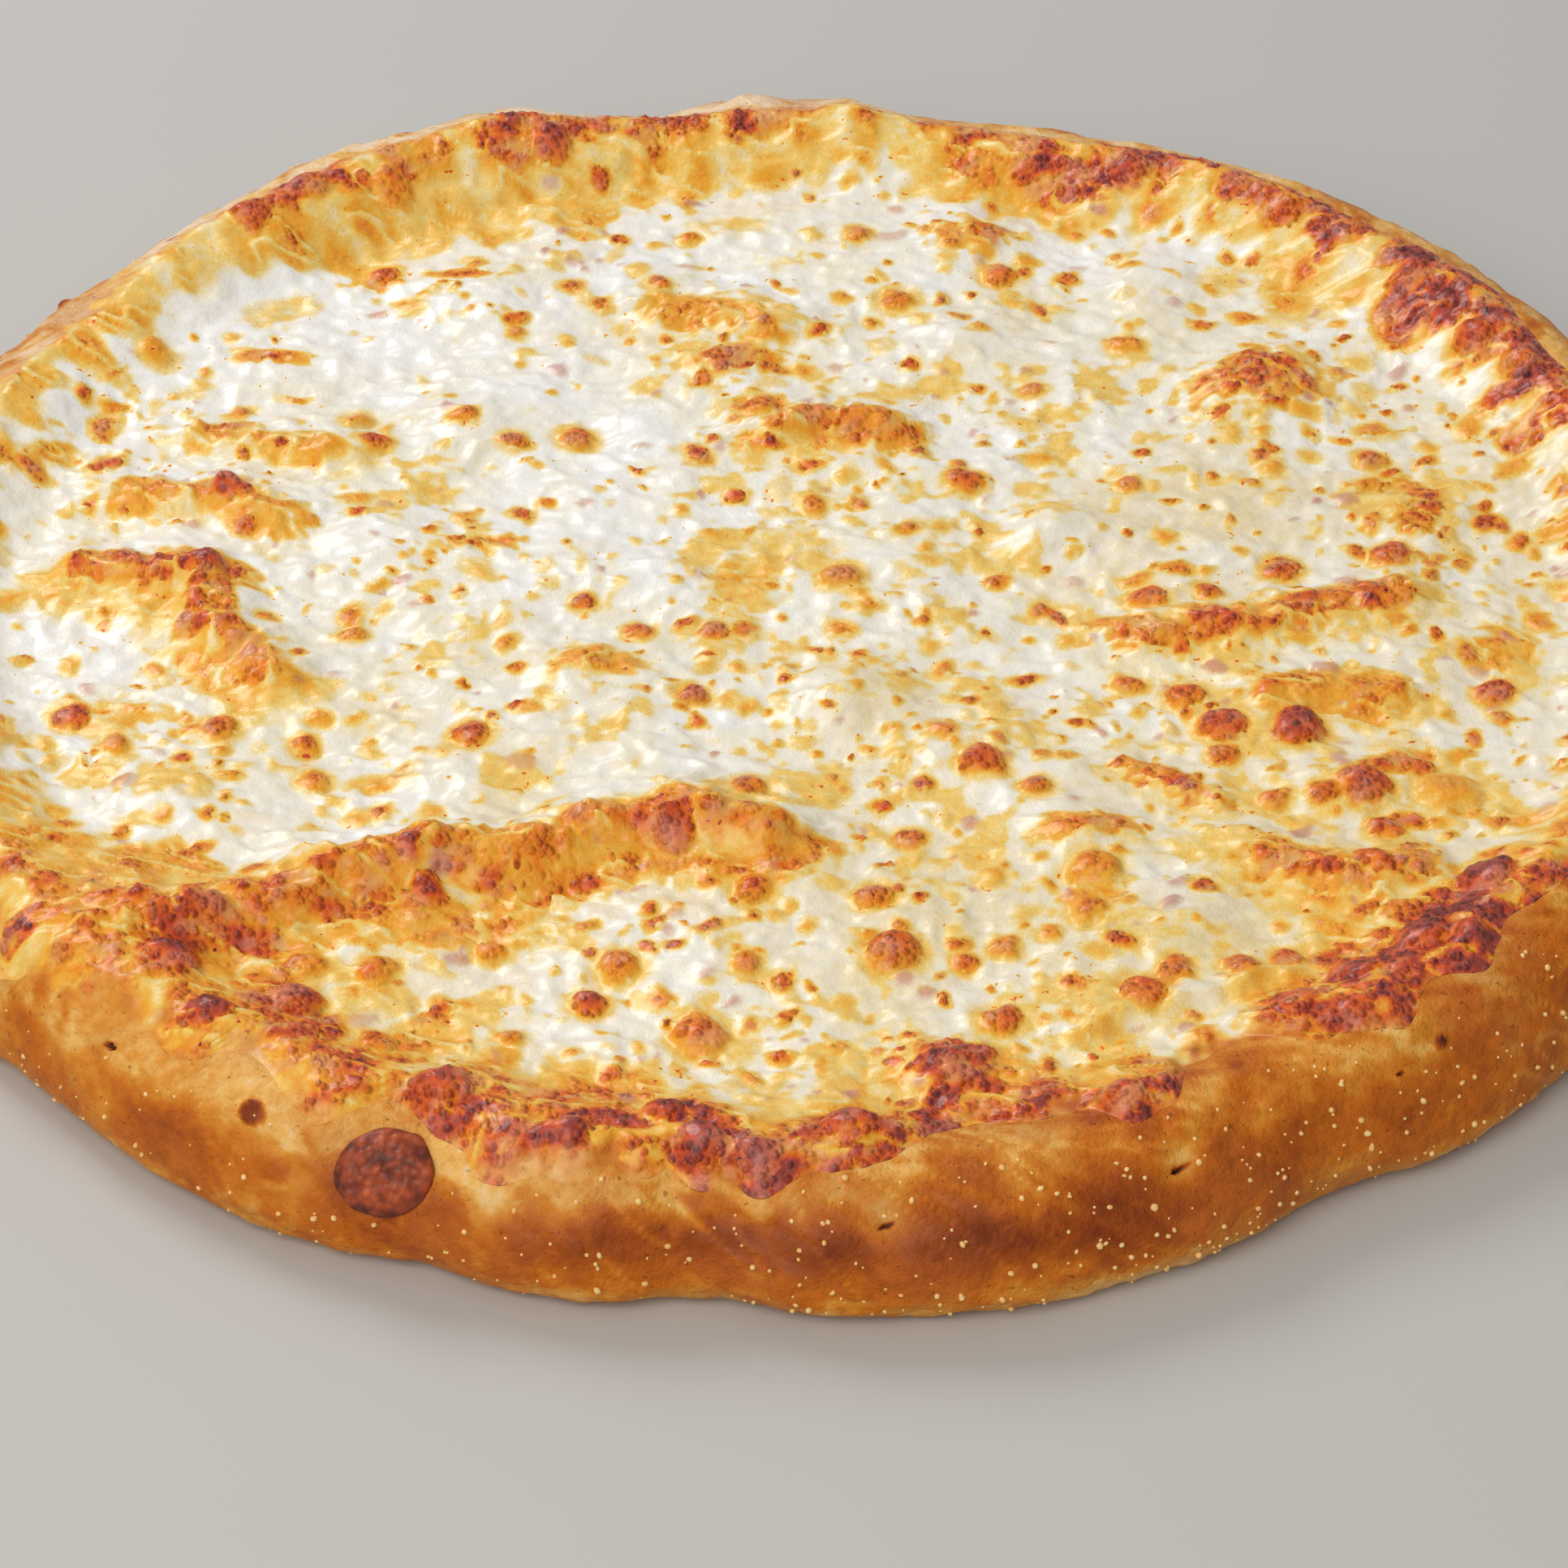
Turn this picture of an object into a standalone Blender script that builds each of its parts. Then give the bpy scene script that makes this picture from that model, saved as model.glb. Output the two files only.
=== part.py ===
"""Double decker pizza, whole and uncut: a thick raised crust with toasted cheese melted over it.

Lengths below are in millimetres and angles in degrees, counted from +X towards +Y.
The crust stands on z = 0 about the origin, and -Y is the front.
"""
import math

import bmesh
import bpy
from mathutils import Vector, noise
from mathutils.geometry import delaunay_2d_cdt

MM = 0.001

# Crust section, from the table up: a rounded foot, a swelling wall, a crest, and a slope down to the well
RADIUS = 178.5
WIDEST_Z = 7.0
FOOT_ROUND = 6.0
CREST_INSET = 16.0
CREST_Z = 26.0
WELL_INSET = 50.0
WELL_Z = 10.0
WALL_LENGTH = 0.5 * math.pi * (CREST_INSET + CREST_Z - WIDEST_Z) / 2
SECTORS = 150
FOOT_RINGS = 3
WALL_RINGS = 5
SLOPE_RINGS = 6

# Places where the baked dough swells or draws in: angle, width, outward, upward
LOBES = (
    (-90, 48, 0.0, -3.2), (-153, 9, -1.2, -0.5), (-136, 6, -1.5, 0.4), (-119, 7, 1.4, 0.3),
    (-110.5, 3, -1.8, 0.0), (-103, 4, 0.6, 0.3), (-94.6, 4, -3.2, -0.4), (-78, 9, 2.8, 0.4),
    (-58.5, 5, -3.4, -0.6), (-46, 8, 0.5, 0.8), (-22, 10, 0.8, -0.7), (2, 12, 1.3, 0.6), (30, 10, 0.5, 1.0),
    (47, 12, 1.0, 0.8), (77, 13, -2.0, -2.0), (85.3, 2.5, 0.4, 2.3), (92.6, 4, 1.8, 1.6),
    (98.5, 6, -1.6, -1.8), (110, 4, 1.2, 1.5), (120, 11, 2.6, 2.3), (153, 10, -1.2, -1.2),
    (178, 9, 1.2, 0.6),
)

# Soft lumps of the bare dough: how far each runs around and up, which lumps, and how fine and high they are
LUMP_LENGTH = 16.0
LUMP_SHARE = 0.59
LUMP_LAYER = 3.1
LUMPS = ((1.0, 0.7), (2.3, 0.35))

# Shares of the section over which the lumps fade out, next to the cheese and above the foot
FADE_AT_CHEESE = 0.2
FADE_AT_FOOT = 0.5
FOOT_SHARE = -0.9

# Hollows in the bare dough: angle, share of the way up the wall, reach, depth
DENTS = (
    (-131.2, 0.52, 5.0, 0.8), (-97, 0.32, 9.0, 0.9), (-84.8, 0.53, 6.0, 0.9), (-91, 0.39, 9.0, 1.1),
    (-68.4, 0.55, 5.0, 1.0), (-73.4, 0.58, 8.0, 0.8), (-63.7, 0.67, 6.0, 1.2), (-49.8, 0.48, 11.0, 0.9),
    (-105, 0.27, 10.0, 0.7), (-122, 0.38, 8.0, 0.7), (-33, 0.51, 9.0, 0.8), (-12, 0.4, 10.0, 0.9),
    (25, 0.45, 10.0, 0.8), (60, 0.4, 12.0, 0.9), (101, 0.45, 10.0, 0.8), (140, 0.4, 11.0, 0.9),
    (168, 0.5, 9.0, 0.8), (-160, 0.45, 10.0, 0.8),
)

# Where the cheese stops on the rim: angle, radius
CHEESE_EDGE = (
    (-180, 165), (-168, 163), (-158, 168), (-149.5, 164.5), (-140, 171), (-131.5, 171), (-127.5, 166),
    (-122.5, 164.5), (-117, 171.5), (-113.5, 162.5), (-110, 166.5), (-105.5, 171.5), (-101, 166),
    (-97.5, 164), (-94.8, 168.5), (-93, 167), (-91.3, 169.5), (-88.5, 166), (-84.5, 164.5), (-81, 156.5),
    (-78, 154.5), (-75, 157.5), (-72, 158), (-70, 165), (-67.5, 163.5), (-64, 153.5), (-60.5, 151.5),
    (-56.5, 161), (-51.5, 166.5), (-48, 162), (-45, 166.5), (-40.5, 161), (-35.5, 162.5), (-28, 167),
    (-19, 163), (-8, 166), (3, 162), (14, 166), (24, 163), (35, 167), (46, 164), (58, 166), (70, 163),
    (82, 165), (92, 163), (103, 166), (114, 168), (124, 166), (136, 168), (148, 164), (160, 166),
    (170, 163),
)

# Cheese: the level it lies at, its skin over the rim, and the clear gap to the dough
CHEESE_Z = 19.0
SKIN = 1.6
EDGE_SKIN = 0.9
SKIN_REACH = 6.0
GAP = 0.35
BLEND = 2.0
SWELL = 2.0
SWELL_SIZE = 34.0
SWELL_LAYER = 5.0
RIPPLE = 1.0
RIPPLE_SIZE = 13.0
RIPPLE_LAYER = 9.0

# Shares of its width that a fold reaches to its steep front and to its back
FOLD_FRONT = 0.75
FOLD_BACK = 1.35

# Long folds of cheese: points along the top, width, height
FOLDS = (
    (((-118, -106), (-100, -100), (-88, -95), (-80, -87), (-65, -83), (-45, -80), (-30, -73), (-18, -71),
      (-4, -74)), 7, 6),
    (((-130, 6), (-118, 3), (-108, 3), (-106, -10), (-94, -26)), 7, 4.5),
    (((-124, 31), (-106, 29), (-96, 22)), 6, 3.5),
    (((66, -15), (82, -12), (96, -8), (112, -4)), 7, 3.2),
    (((48, -127), (58, -122), (68, -119), (80, -114), (92, -113)), 3.2, 2.2),
    (((-2, 51), (8, 56), (20, 53)), 5, 3.5),
    (((-24, 96), (-12, 94), (-4, 88)), 7, 3.0),
    (((-112, 52), (-98, 49), (-86, 46)), 6, 2.6),
    (((60, -52), (68, -58), (76, -64)), 3, 2.0),
    (((88, -33), (100, -31), (110, -33)), 5, 2.0),
    (((84, -80), (97, -87), (108, -84)), 6, 2.8),
    (((-97, -134), (-88, -143), (-76, -148)), 4, 1.2),
)

# Smooth swellings, each rounded over a share of its reach: x, y, reach, height
HILL_ROUND = 0.8
HILLS = (
    (10, -32, 12, 4.0), (50, 18, 11, 4.5), (92, 67, 16, 5.5), (26, -137, 9, 4.5), (130, 86, 8, 4.0),
    (-15, 76, 12, 2.5), (33, 84, 11, 2.2), (38, 122, 12, 3.0), (-35, -26, 14, 2.4), (-58, -56, 13, 2.2),
    (118, 24, 11, 2.6), (-62, 58, 13, 2.0), (-64, 100, 13, 2.2), (68, -97, 13, 1.8), (52, -72, 10, 2.4),
    (-22, 4, 14, 2.6), (-112, -62, 13, 2.6), (100, -58, 13, 2.6), (6, 122, 13, 2.2), (-78, 18, 13, 2.0),
    (74, 108, 12, 2.2), (-46, 130, 11, 2.0), (-12, -104, 11, 1.6), (-114, -96, 20, 3.4),
    (-130, -82, 16, 2.4), (-92, -118, 14, 1.8), (110, -92, 14, 2.2),
)

# Toasted blisters: x, y, radius
BLISTERS = (
    (-82, -109, 3.8), (-70, -110, 4.2), (-83, -120, 4.2), (-69, -130, 3.8), (-47, -127, 2.8),
    (-34, -118, 3.4), (-29, -109, 3.8), (-51, -104, 2.8), (-15, -127, 5.1), (-6, -89, 3.8), (-7, -109, 2.8),
    (18, -106, 4.9), (15, -91, 3.9), (37, -104, 2.9), (35, -85, 2.8), (21, -73, 2.9), (53, -84, 4.7),
    (52, -95, 3.9), (60, -117, 4.7), (66, -111, 3.4), (36, -124, 4.2), (77, -110, 3.4), (85, -108, 3.4),
    (105, -72, 3.6), (102, -84, 3.6), (102, -61, 4.9), (95, -63, 2.8), (117, -61, 6), (78, -42, 4.2),
    (78, -50, 2.9), (86, -63, 3.1), (92, -43, 4.9), (121, -90, 5.1), (128, -32, 3.4), (35, -53, 4.1),
    (44, -60, 3.1), (28, -43, 2.8), (62, -28, 2.8), (72, -32, 4.2), (-7, -60, 3.4), (-17, -32, 2.9),
    (-57, -44, 3.9), (-84, -56, 2.8), (-87, -45, 2.9), (-102, -41, 3.8), (-120, -46, 2.9), (-129, -37, 3.6),
    (-108, 3, 4.2), (-105, 31, 3.9), (-80, -12, 2.8), (-27, -12, 2.8), (-13, -12, 2.8), (10, 5, 3.9),
    (67, -3, 3.9), (78, -1, 3.1), (92, 7, 3.9), (113, 10, 4.1), (5, 28, 2.8), (34, 36, 3.6), (65, 34, 2.8),
    (93, 39, 2.8), (112, 43, 2.9), (-5, 60, 4.2), (-40, 52, 3.4), (-52, 50, 2.8), (-62, 56, 2.8),
    (-78, 49, 2.9), (-83, 58, 3.2), (-123, 78, 3.4), (-80, 110, 2.9), (-25, 104, 2.8), (15, 122, 2.9),
    (22, 98, 4.1), (43, 108, 4.2), (48, 67, 2.8), (67, 82, 3.6), (-20, -76, 3.9), (-62, -90, 3.6),
    (-104, -113, 4.7), (-96, -128, 3.9), (-57, -147, 5.1), (-36, -159, 3.9), (-20, -152, 4.0),
    (-14, -161, 4.2), (-5, -163, 3.6), (10, -156, 5.5), (55, -149, 4.2), (85, -124, 4.7), (96, -114, 4.7),
    (108, -107, 5.1), (116, -110, 3.6), (-107, 118, 4.2), (-96, 128, 4.2), (-79, 132, 4.7), (-48, 148, 4.2),
    (70, 138, 4.2), (100, 120, 4.7), (123, 96, 4.7), (134, 75, 4.2), (142, 65, 4.1),
)
BLISTER_RISE = 0.45
BLISTER_SIDES = 7
BLISTER_INNER_SIDES = 5
BLISTER_INNER = 0.6
BLISTER_CLEAR = 2.5
BLISTER_TO_RIM = 1.5
BLISTER_TO_EDGE = 1.4

# Top of the cheese as a net of points
NET_STEP = 7.0
NET_MARGIN = 6.0
RIM_STEP = 3.4

# One drop of burnt cheese that ran down the front wall: angle, share of the way up, radius, thickness
DROP_ANGLE = -112.3
DROP_UP = 0.478
DROP_RADIUS = 8.1
DROP_RISE = 2.3
DROP_GAP = 0.35
DROP_SIDES = 20
DROP_RINGS = (0.35, 0.68, 0.9, 1.0)
DROP_ROUND = 1.06
DROP_WOBBLE = 0.05
DROP_WOBBLE_LAYER = 4.0
DROP_PEBBLE = 0.18
DROP_PEBBLES_ACROSS = 5.0

COLORS = {
    "crust": (0.46, 0.19, 0.055, 1.0),
    "cheese": (0.86, 0.70, 0.36, 1.0),
    "burnt_drop": (0.12, 0.025, 0.018, 1.0),
}
ROUGHNESS = {"crust": 0.62, "cheese": 0.38, "burnt_drop": 0.45}


def bell(distance, width):
    """One at no distance, falling smoothly to nothing."""
    return math.exp(-((distance / width) ** 2))


def ease(t):
    """Smooth step from 0 to 1."""
    t = min(1.0, max(0.0, t))
    return t * t * (3 - 2 * t)


def turn(a, b):
    """Difference of two angles, from -180 to 180."""
    return (a - b + 180) % 360 - 180


def at_angle(table, deg):
    """Value of a table of (angle, value) pairs, eased between its entries all the way round."""
    deg = (deg + 180) % 360 - 180
    for (a, va), (b, vb) in zip(table, table[1:] + ((table[0][0] + 360, table[0][1]),)):
        if a <= deg <= b:
            return va + (vb - va) * ease((deg - a) / (b - a))
    return table[0][1]


def rim(deg):
    """Widest radius and crest height at an angle."""
    out = sum(bell(turn(deg, a), w) * o for a, w, o, _ in LOBES)
    up = sum(bell(turn(deg, a), w) * u for a, w, _, u in LOBES)
    return RADIUS + out, CREST_Z + up


def cheese_edge(deg):
    return at_angle(CHEESE_EDGE, deg)


def section(deg, share):
    """Radius and height of the crust's section.

    Share runs -1 at the foot, 0 at the widest place, 1 on the crest and 2 where the slope meets the well.
    """
    radius, crest = rim(deg)
    turned = math.radians(90 * min(share, 1))
    if share < 0:
        return radius - FOOT_ROUND * (1 - math.cos(turned)), WIDEST_Z * (1 + math.sin(turned))
    if share <= 1:
        return radius - CREST_INSET * (1 - math.cos(turned)), WIDEST_Z + (crest - WIDEST_Z) * math.sin(turned)
    inward = (share - 1) * (WELL_INSET - CREST_INSET)
    return radius - CREST_INSET - inward, WELL_Z + (crest - WELL_Z) * ease(2 - share)


def share_at(deg, r):
    """Share of the section, above the widest place, where the radius is r."""
    inset = rim(deg)[0] - r
    if inset < CREST_INSET:
        return math.degrees(math.acos(1 - max(0.0, inset) / CREST_INSET)) / 90
    return min(2.0, 1 + (inset - CREST_INSET) / (WELL_INSET - CREST_INSET))


def crust_height(deg, r):
    return section(deg, share_at(deg, r))[1]


def rim_point(deg, share, lift=0.0):
    """Point on the crust's section, lifted off it along its normal."""
    r, z = section(deg, share)
    r_next, z_next = section(deg, share + 0.01)
    along = math.hypot(r_next - r, z_next - z)
    r, z = r + lift * (z_next - z) / along, z - lift * (r_next - r) / along
    return Vector((r * math.cos(math.radians(deg)), r * math.sin(math.radians(deg)), z))


def dough_relief(deg, share, edge_share):
    """Soft lumps and dents of the bare dough, fading out at the cheese and at the foot."""
    r = section(deg, share)[0]
    here = Vector((r * math.radians(deg) / LUMP_LENGTH, share / LUMP_SHARE, LUMP_LAYER))
    lumps = sum(height * noise.noise(here * finer) for finer, height in LUMPS)
    for a, up, reach, depth in DENTS:
        away = math.hypot(math.radians(turn(deg, a)) * r, (share - up) * WALL_LENGTH)
        lumps -= depth * bell(away, reach)
    return lumps * ease((edge_share - share) / FADE_AT_CHEESE) * ease((share - FOOT_SHARE) / FADE_AT_FOOT)


def crust_rings():
    """Rings of points from the foot up the wall and down to the well."""
    degs = [-180 + 360 * k / SECTORS for k in range(SECTORS)]
    edges = [share_at(d, cheese_edge(d)) for d in degs]
    rings = []
    for k in range(FOOT_RINGS):
        share = -1 + k / FOOT_RINGS
        rings.append([rim_point(d, share, dough_relief(d, share, e)) for d, e in zip(degs, edges)])
    for k in range(WALL_RINGS):
        rings.append([rim_point(d, e * k / WALL_RINGS, dough_relief(d, e * k / WALL_RINGS, e))
                      for d, e in zip(degs, edges)])
    for k in range(SLOPE_RINGS + 1):
        rings.append([rim_point(d, e + (2 - e) * k / SLOPE_RINGS) for d, e in zip(degs, edges)])
    return rings


def fold_height(x, y):
    """Height added by the long folds, each a rounded ridge that is steeper towards the front."""
    total = 0.0
    for points, width, height in FOLDS:
        best = 0.0
        for (ax, ay), (bx, by) in zip(points, points[1:]):
            dx, dy = bx - ax, by - ay
            t = min(1.0, max(0.0, ((x - ax) * dx + (y - ay) * dy) / (dx * dx + dy * dy)))
            away = math.hypot(x - ax - t * dx, y - ay - t * dy)
            reach = width * (FOLD_FRONT if y < ay + t * dy else FOLD_BACK)
            best = max(best, bell(away, reach))
        total += height * best
    return total


def blister_height(x, y):
    """Height added by the nearest blister."""
    best = 0.0
    for bx, by, radius in BLISTERS:
        away = math.hypot(x - bx, y - by) / radius
        if away < 1:
            best = max(best, BLISTER_RISE * radius * math.sqrt(1 - away * away))
    return best


def cheese_height(x, y):
    """Top of the cheese: a lumpy sheet in the well that climbs the rim as a thin skin."""
    r, deg = math.hypot(x, y), math.degrees(math.atan2(y, x))
    inside = ease((cheese_edge(deg) - r) / SKIN_REACH)
    skin = crust_height(deg, r) + GAP + EDGE_SKIN + (SKIN - EDGE_SKIN) * inside
    level = CHEESE_Z + SWELL * noise.noise(Vector((x, y, SWELL_LAYER)) / SWELL_SIZE)
    for hx, hy, reach, height in HILLS:
        level += height * bell(math.hypot(x - hx, y - hy), HILL_ROUND * reach)
    level += fold_height(x, y)
    top = 0.5 * (level + skin + math.sqrt((level - skin) ** 2 + BLEND ** 2))
    top += RIPPLE * noise.noise(Vector((x, y, RIPPLE_LAYER)) / RIPPLE_SIZE) * inside
    return top + blister_height(x, y) * inside


def ring_around(x, y, radius, sides):
    for k in range(sides):
        angle = 2 * math.pi * k / sides
        yield x + radius * math.cos(angle), y + radius * math.sin(angle)


def near_blister(x, y, clear):
    return any(math.hypot(x - bx, y - by) < radius + clear for bx, by, radius in BLISTERS)


def net_points(boundary):
    """Plan of the cheese's top: its rim, a second ring inside it, rings round blisters and a net between."""
    points = []
    for p in boundary:
        r = math.hypot(p.x, p.y)
        x, y = p.x * (r - RIM_STEP) / r, p.y * (r - RIM_STEP) / r
        if not near_blister(x, y, BLISTER_TO_RIM):
            points.append((x, y))
    for x, y, radius in BLISTERS:
        if math.hypot(x, y) < cheese_edge(math.degrees(math.atan2(y, x))) - BLISTER_TO_EDGE - radius:
            points.append((x, y))
            points += ring_around(x, y, BLISTER_INNER * radius, BLISTER_INNER_SIDES)
            points += ring_around(x, y, radius, BLISTER_SIDES)
    row_step = NET_STEP * math.sqrt(3) / 2
    rows = int(RADIUS / row_step)
    for j in range(-rows, rows + 1):
        for i in range(-rows - 2, rows + 3):
            x, y = NET_STEP * (i + 0.5 * (j % 2)), row_step * j
            edge = cheese_edge(math.degrees(math.atan2(y, x)))
            if math.hypot(x, y) < edge - NET_MARGIN and not near_blister(x, y, BLISTER_CLEAR):
                points.append((x, y))
    return points


def make_object(name, verts, faces):
    """Object from points in millimetres, with outward normals, smooth shading and its own material."""
    mesh = bpy.data.meshes.new(name)
    mesh.from_pydata([v * MM for v in verts], [], faces)
    shape = bmesh.new()
    shape.from_mesh(mesh)
    bmesh.ops.recalc_face_normals(shape, faces=shape.faces)
    bmesh.ops.triangulate(shape, faces=shape.faces)
    for face in shape.faces:
        face.smooth = True
    shape.to_mesh(mesh)
    shape.free()
    material = bpy.data.materials.new(name)
    material.use_nodes = True
    shader = material.node_tree.nodes["Principled BSDF"]
    shader.inputs["Base Color"].default_value = COLORS[name]
    shader.inputs["Roughness"].default_value = ROUGHNESS[name]
    mesh.materials.append(material)
    obj = bpy.data.objects.new(name, mesh)
    bpy.context.collection.objects.link(obj)
    return obj


def band(first, second, count):
    """Quads between two rings that start at the given point numbers."""
    return [(first + k, first + (k + 1) % count, second + (k + 1) % count, second + k) for k in range(count)]


def fan(centre, first, count):
    return [(centre, first + k, first + (k + 1) % count) for k in range(count)]


def make_crust(rings):
    verts = [p for ring in rings for p in ring]
    faces = []
    for k in range(len(rings) - 1):
        faces += band(k * SECTORS, (k + 1) * SECTORS, SECTORS)
    bottom = len(verts)
    verts += [Vector((0, 0, 0)), Vector((0, 0, WELL_Z))]
    faces += fan(bottom, 0, SECTORS)
    faces += fan(bottom + 1, (len(rings) - 1) * SECTORS, SECTORS)
    return make_object("crust", verts, faces)


def make_cheese(rings):
    """Cheese whose underside follows the crust at a small gap."""
    under = [[p + Vector((0, 0, GAP)) for p in ring] for ring in rings[-SLOPE_RINGS - 1:]]
    verts = [p for ring in under for p in ring]
    faces = []
    for k in range(len(under) - 1):
        faces += band(k * SECTORS, (k + 1) * SECTORS, SECTORS)
    centre = len(verts)
    verts.append(Vector((0, 0, WELL_Z + GAP)))
    faces += fan(centre, (len(under) - 1) * SECTORS, SECTORS)

    boundary = [Vector((p.x, p.y)) for p in under[0]]
    plan = boundary + [Vector(p) for p in net_points(boundary)]
    sides = [(k, (k + 1) % SECTORS) for k in range(SECTORS)]
    flat, _, triangles, _, _, _ = delaunay_2d_cdt(plan, sides, [], 1, 1e-4)
    top = len(verts)
    for k, p in enumerate(flat):
        height = under[0][k].z + EDGE_SKIN if k < SECTORS else cheese_height(p.x, p.y)
        verts.append(Vector((p.x, p.y, height)))
    faces += [tuple(top + k for k in triangle) for triangle in triangles]
    faces += band(0, top, SECTORS)
    return make_object("cheese", verts, faces)


def drop_point(along, up, lift):
    """Point over the front wall, by distance along it and up it from the middle of the drop."""
    radius, _ = section(DROP_ANGLE, DROP_UP)
    return rim_point(DROP_ANGLE + math.degrees(along / radius), DROP_UP + up / WALL_LENGTH, lift)


def make_drop():
    """Round burnt drop with a pebbled top, lying on the wall."""
    verts, faces = [], []
    for top in (True, False):
        for share in DROP_RINGS:
            for x, y in ring_around(0, 0, 1, DROP_SIDES):
                wobble = noise.noise(Vector((2 * x, 2 * y, DROP_WOBBLE_LAYER)))
                reach = DROP_RADIUS * (1 + DROP_WOBBLE * wobble)
                lift = DROP_GAP
                if top:
                    pebble = 1 + DROP_PEBBLE * noise.noise(Vector((x, y, 0)) * share * DROP_PEBBLES_ACROSS)
                    lift += DROP_RISE * pebble * math.sqrt(DROP_ROUND - share * share)
                verts.append(drop_point(share * reach * x, share * reach * y, lift))
    count = len(DROP_RINGS)
    for k in range(count - 1):
        faces += band(k * DROP_SIDES, (k + 1) * DROP_SIDES, DROP_SIDES)
        faces += band((count + k) * DROP_SIDES, (count + k + 1) * DROP_SIDES, DROP_SIDES)
    faces += band((count - 1) * DROP_SIDES, (2 * count - 1) * DROP_SIDES, DROP_SIDES)
    middle = len(verts)
    verts += [drop_point(0, 0, DROP_GAP + DROP_RISE), drop_point(0, 0, DROP_GAP)]
    faces += fan(middle, 0, DROP_SIDES)
    faces += fan(middle + 1, count * DROP_SIDES, DROP_SIDES)
    return make_object("burnt_drop", verts, faces)


def main():
    for obj in list(bpy.data.objects):
        bpy.data.objects.remove(obj)
    rings = crust_rings()
    make_crust(rings)
    make_cheese(rings)
    make_drop()


main()
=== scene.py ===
"""Looks of the whole double decker pizza: baked crust, toasted cheese, burnt drop and cornmeal grains.

Lengths are in millimetres until a mesh is made, and angles in degrees from +X towards +Y.
"""
import math

import bmesh
import bpy
import numpy as np
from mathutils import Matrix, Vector, noise


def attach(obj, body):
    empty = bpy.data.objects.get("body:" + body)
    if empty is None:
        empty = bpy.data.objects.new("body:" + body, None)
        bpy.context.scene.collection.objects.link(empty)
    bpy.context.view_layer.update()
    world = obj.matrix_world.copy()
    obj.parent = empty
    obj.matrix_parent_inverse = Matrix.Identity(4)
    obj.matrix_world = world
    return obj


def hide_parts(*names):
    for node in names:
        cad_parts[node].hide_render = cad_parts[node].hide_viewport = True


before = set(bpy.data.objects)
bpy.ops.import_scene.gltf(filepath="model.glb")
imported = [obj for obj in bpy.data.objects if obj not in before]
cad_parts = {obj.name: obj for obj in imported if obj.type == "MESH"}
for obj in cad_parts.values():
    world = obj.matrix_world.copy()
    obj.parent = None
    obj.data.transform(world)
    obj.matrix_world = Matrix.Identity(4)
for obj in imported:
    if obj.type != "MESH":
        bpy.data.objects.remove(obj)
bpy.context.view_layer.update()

MM = 0.001
SEED = 7

# Crust section
RADIUS = 178.5
WIDEST_Z = 7.0
FOOT_ROUND = 6.0
CREST_INSET = 16.0
CREST_Z = 26.0
WELL_INSET = 50.0
WELL_Z = 10.0
WALL_LENGTH = 0.25 * math.pi * (CREST_INSET + CREST_Z - WIDEST_Z)

# Places where the dough swells or draws in: angle, width, outward, upward
LOBES = (
    (-90, 48, 0, -3.2), (-153, 9, -1.2, -0.5), (-136, 6, -1.5, 0.4), (-119, 7, 1.4, 0.3),
    (-110.5, 3, -1.8, 0), (-103, 4, 0.6, 0.3), (-94.6, 4, -3.2, -0.4), (-78, 9, 2.8, 0.4),
    (-58.5, 5, -3.4, -0.6), (-46, 8, 0.5, 0.8), (-22, 10, 0.8, -0.7), (2, 12, 1.3, 0.6), (30, 10, 0.5, 1),
    (47, 12, 1, 0.8), (77, 13, -2, -2), (85.3, 2.5, 0.4, 2.3), (92.6, 4, 1.8, 1.6),
    (98.5, 6, -1.6, -1.8), (110, 4, 1.2, 1.5), (120, 11, 2.6, 2.3), (153, 10, -1.2, -1.2),
    (178, 9, 1.2, 0.6),
)

# Hollows in the bare dough: angle, share of the way up the wall, reach, depth
DENTS = (
    (-131.2, 0.52, 5, 0.8), (-97, 0.32, 9, 0.9), (-84.8, 0.53, 6, 0.9), (-91, 0.39, 9, 1.1),
    (-68.4, 0.55, 5, 1), (-73.4, 0.58, 8, 0.8), (-63.7, 0.67, 6, 1.2), (-49.8, 0.48, 11, 0.9),
    (-105, 0.27, 10, 0.7), (-122, 0.38, 8, 0.7), (-33, 0.51, 9, 0.8), (-12, 0.4, 10, 0.9),
    (25, 0.45, 10, 0.8), (60, 0.4, 12, 0.9), (101, 0.45, 10, 0.8), (140, 0.4, 11, 0.9),
    (168, 0.5, 9, 0.8), (-160, 0.45, 10, 0.8),
)

# Open pores: angle, share of the way up the wall, half width along the wall, half height, depth
PORES = (
    (-68.4, 0.541, 1.3, 0.55, 2.2), (-84.8, 0.512, 1, 0.45, 1.8), (-131.2, 0.514, 1.1, 0.5, 2),
    (-53.8, 0.535, 0.5, 0.35, 1), (18, 0.45, 1.2, 0.6, 2), (95, 0.5, 1.1, 0.6, 2),
    (172, 0.42, 1.2, 0.6, 2), (-22, 0.55, 1, 0.5, 1.8),
)

# Small burnt dots on the bare dough: angle, share of the way up the wall, radius
BURNT_DOTS = (
    (-120.7, 0.61, 2.4), (-50.4, 0.62, 1.2), (-33.5, 0.6, 1.4), (12, 0.6, 1.6), (146, 0.55, 1.5),
    (-164, 0.6, 1.6),
)
DOT_RISE = 1.0

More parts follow.
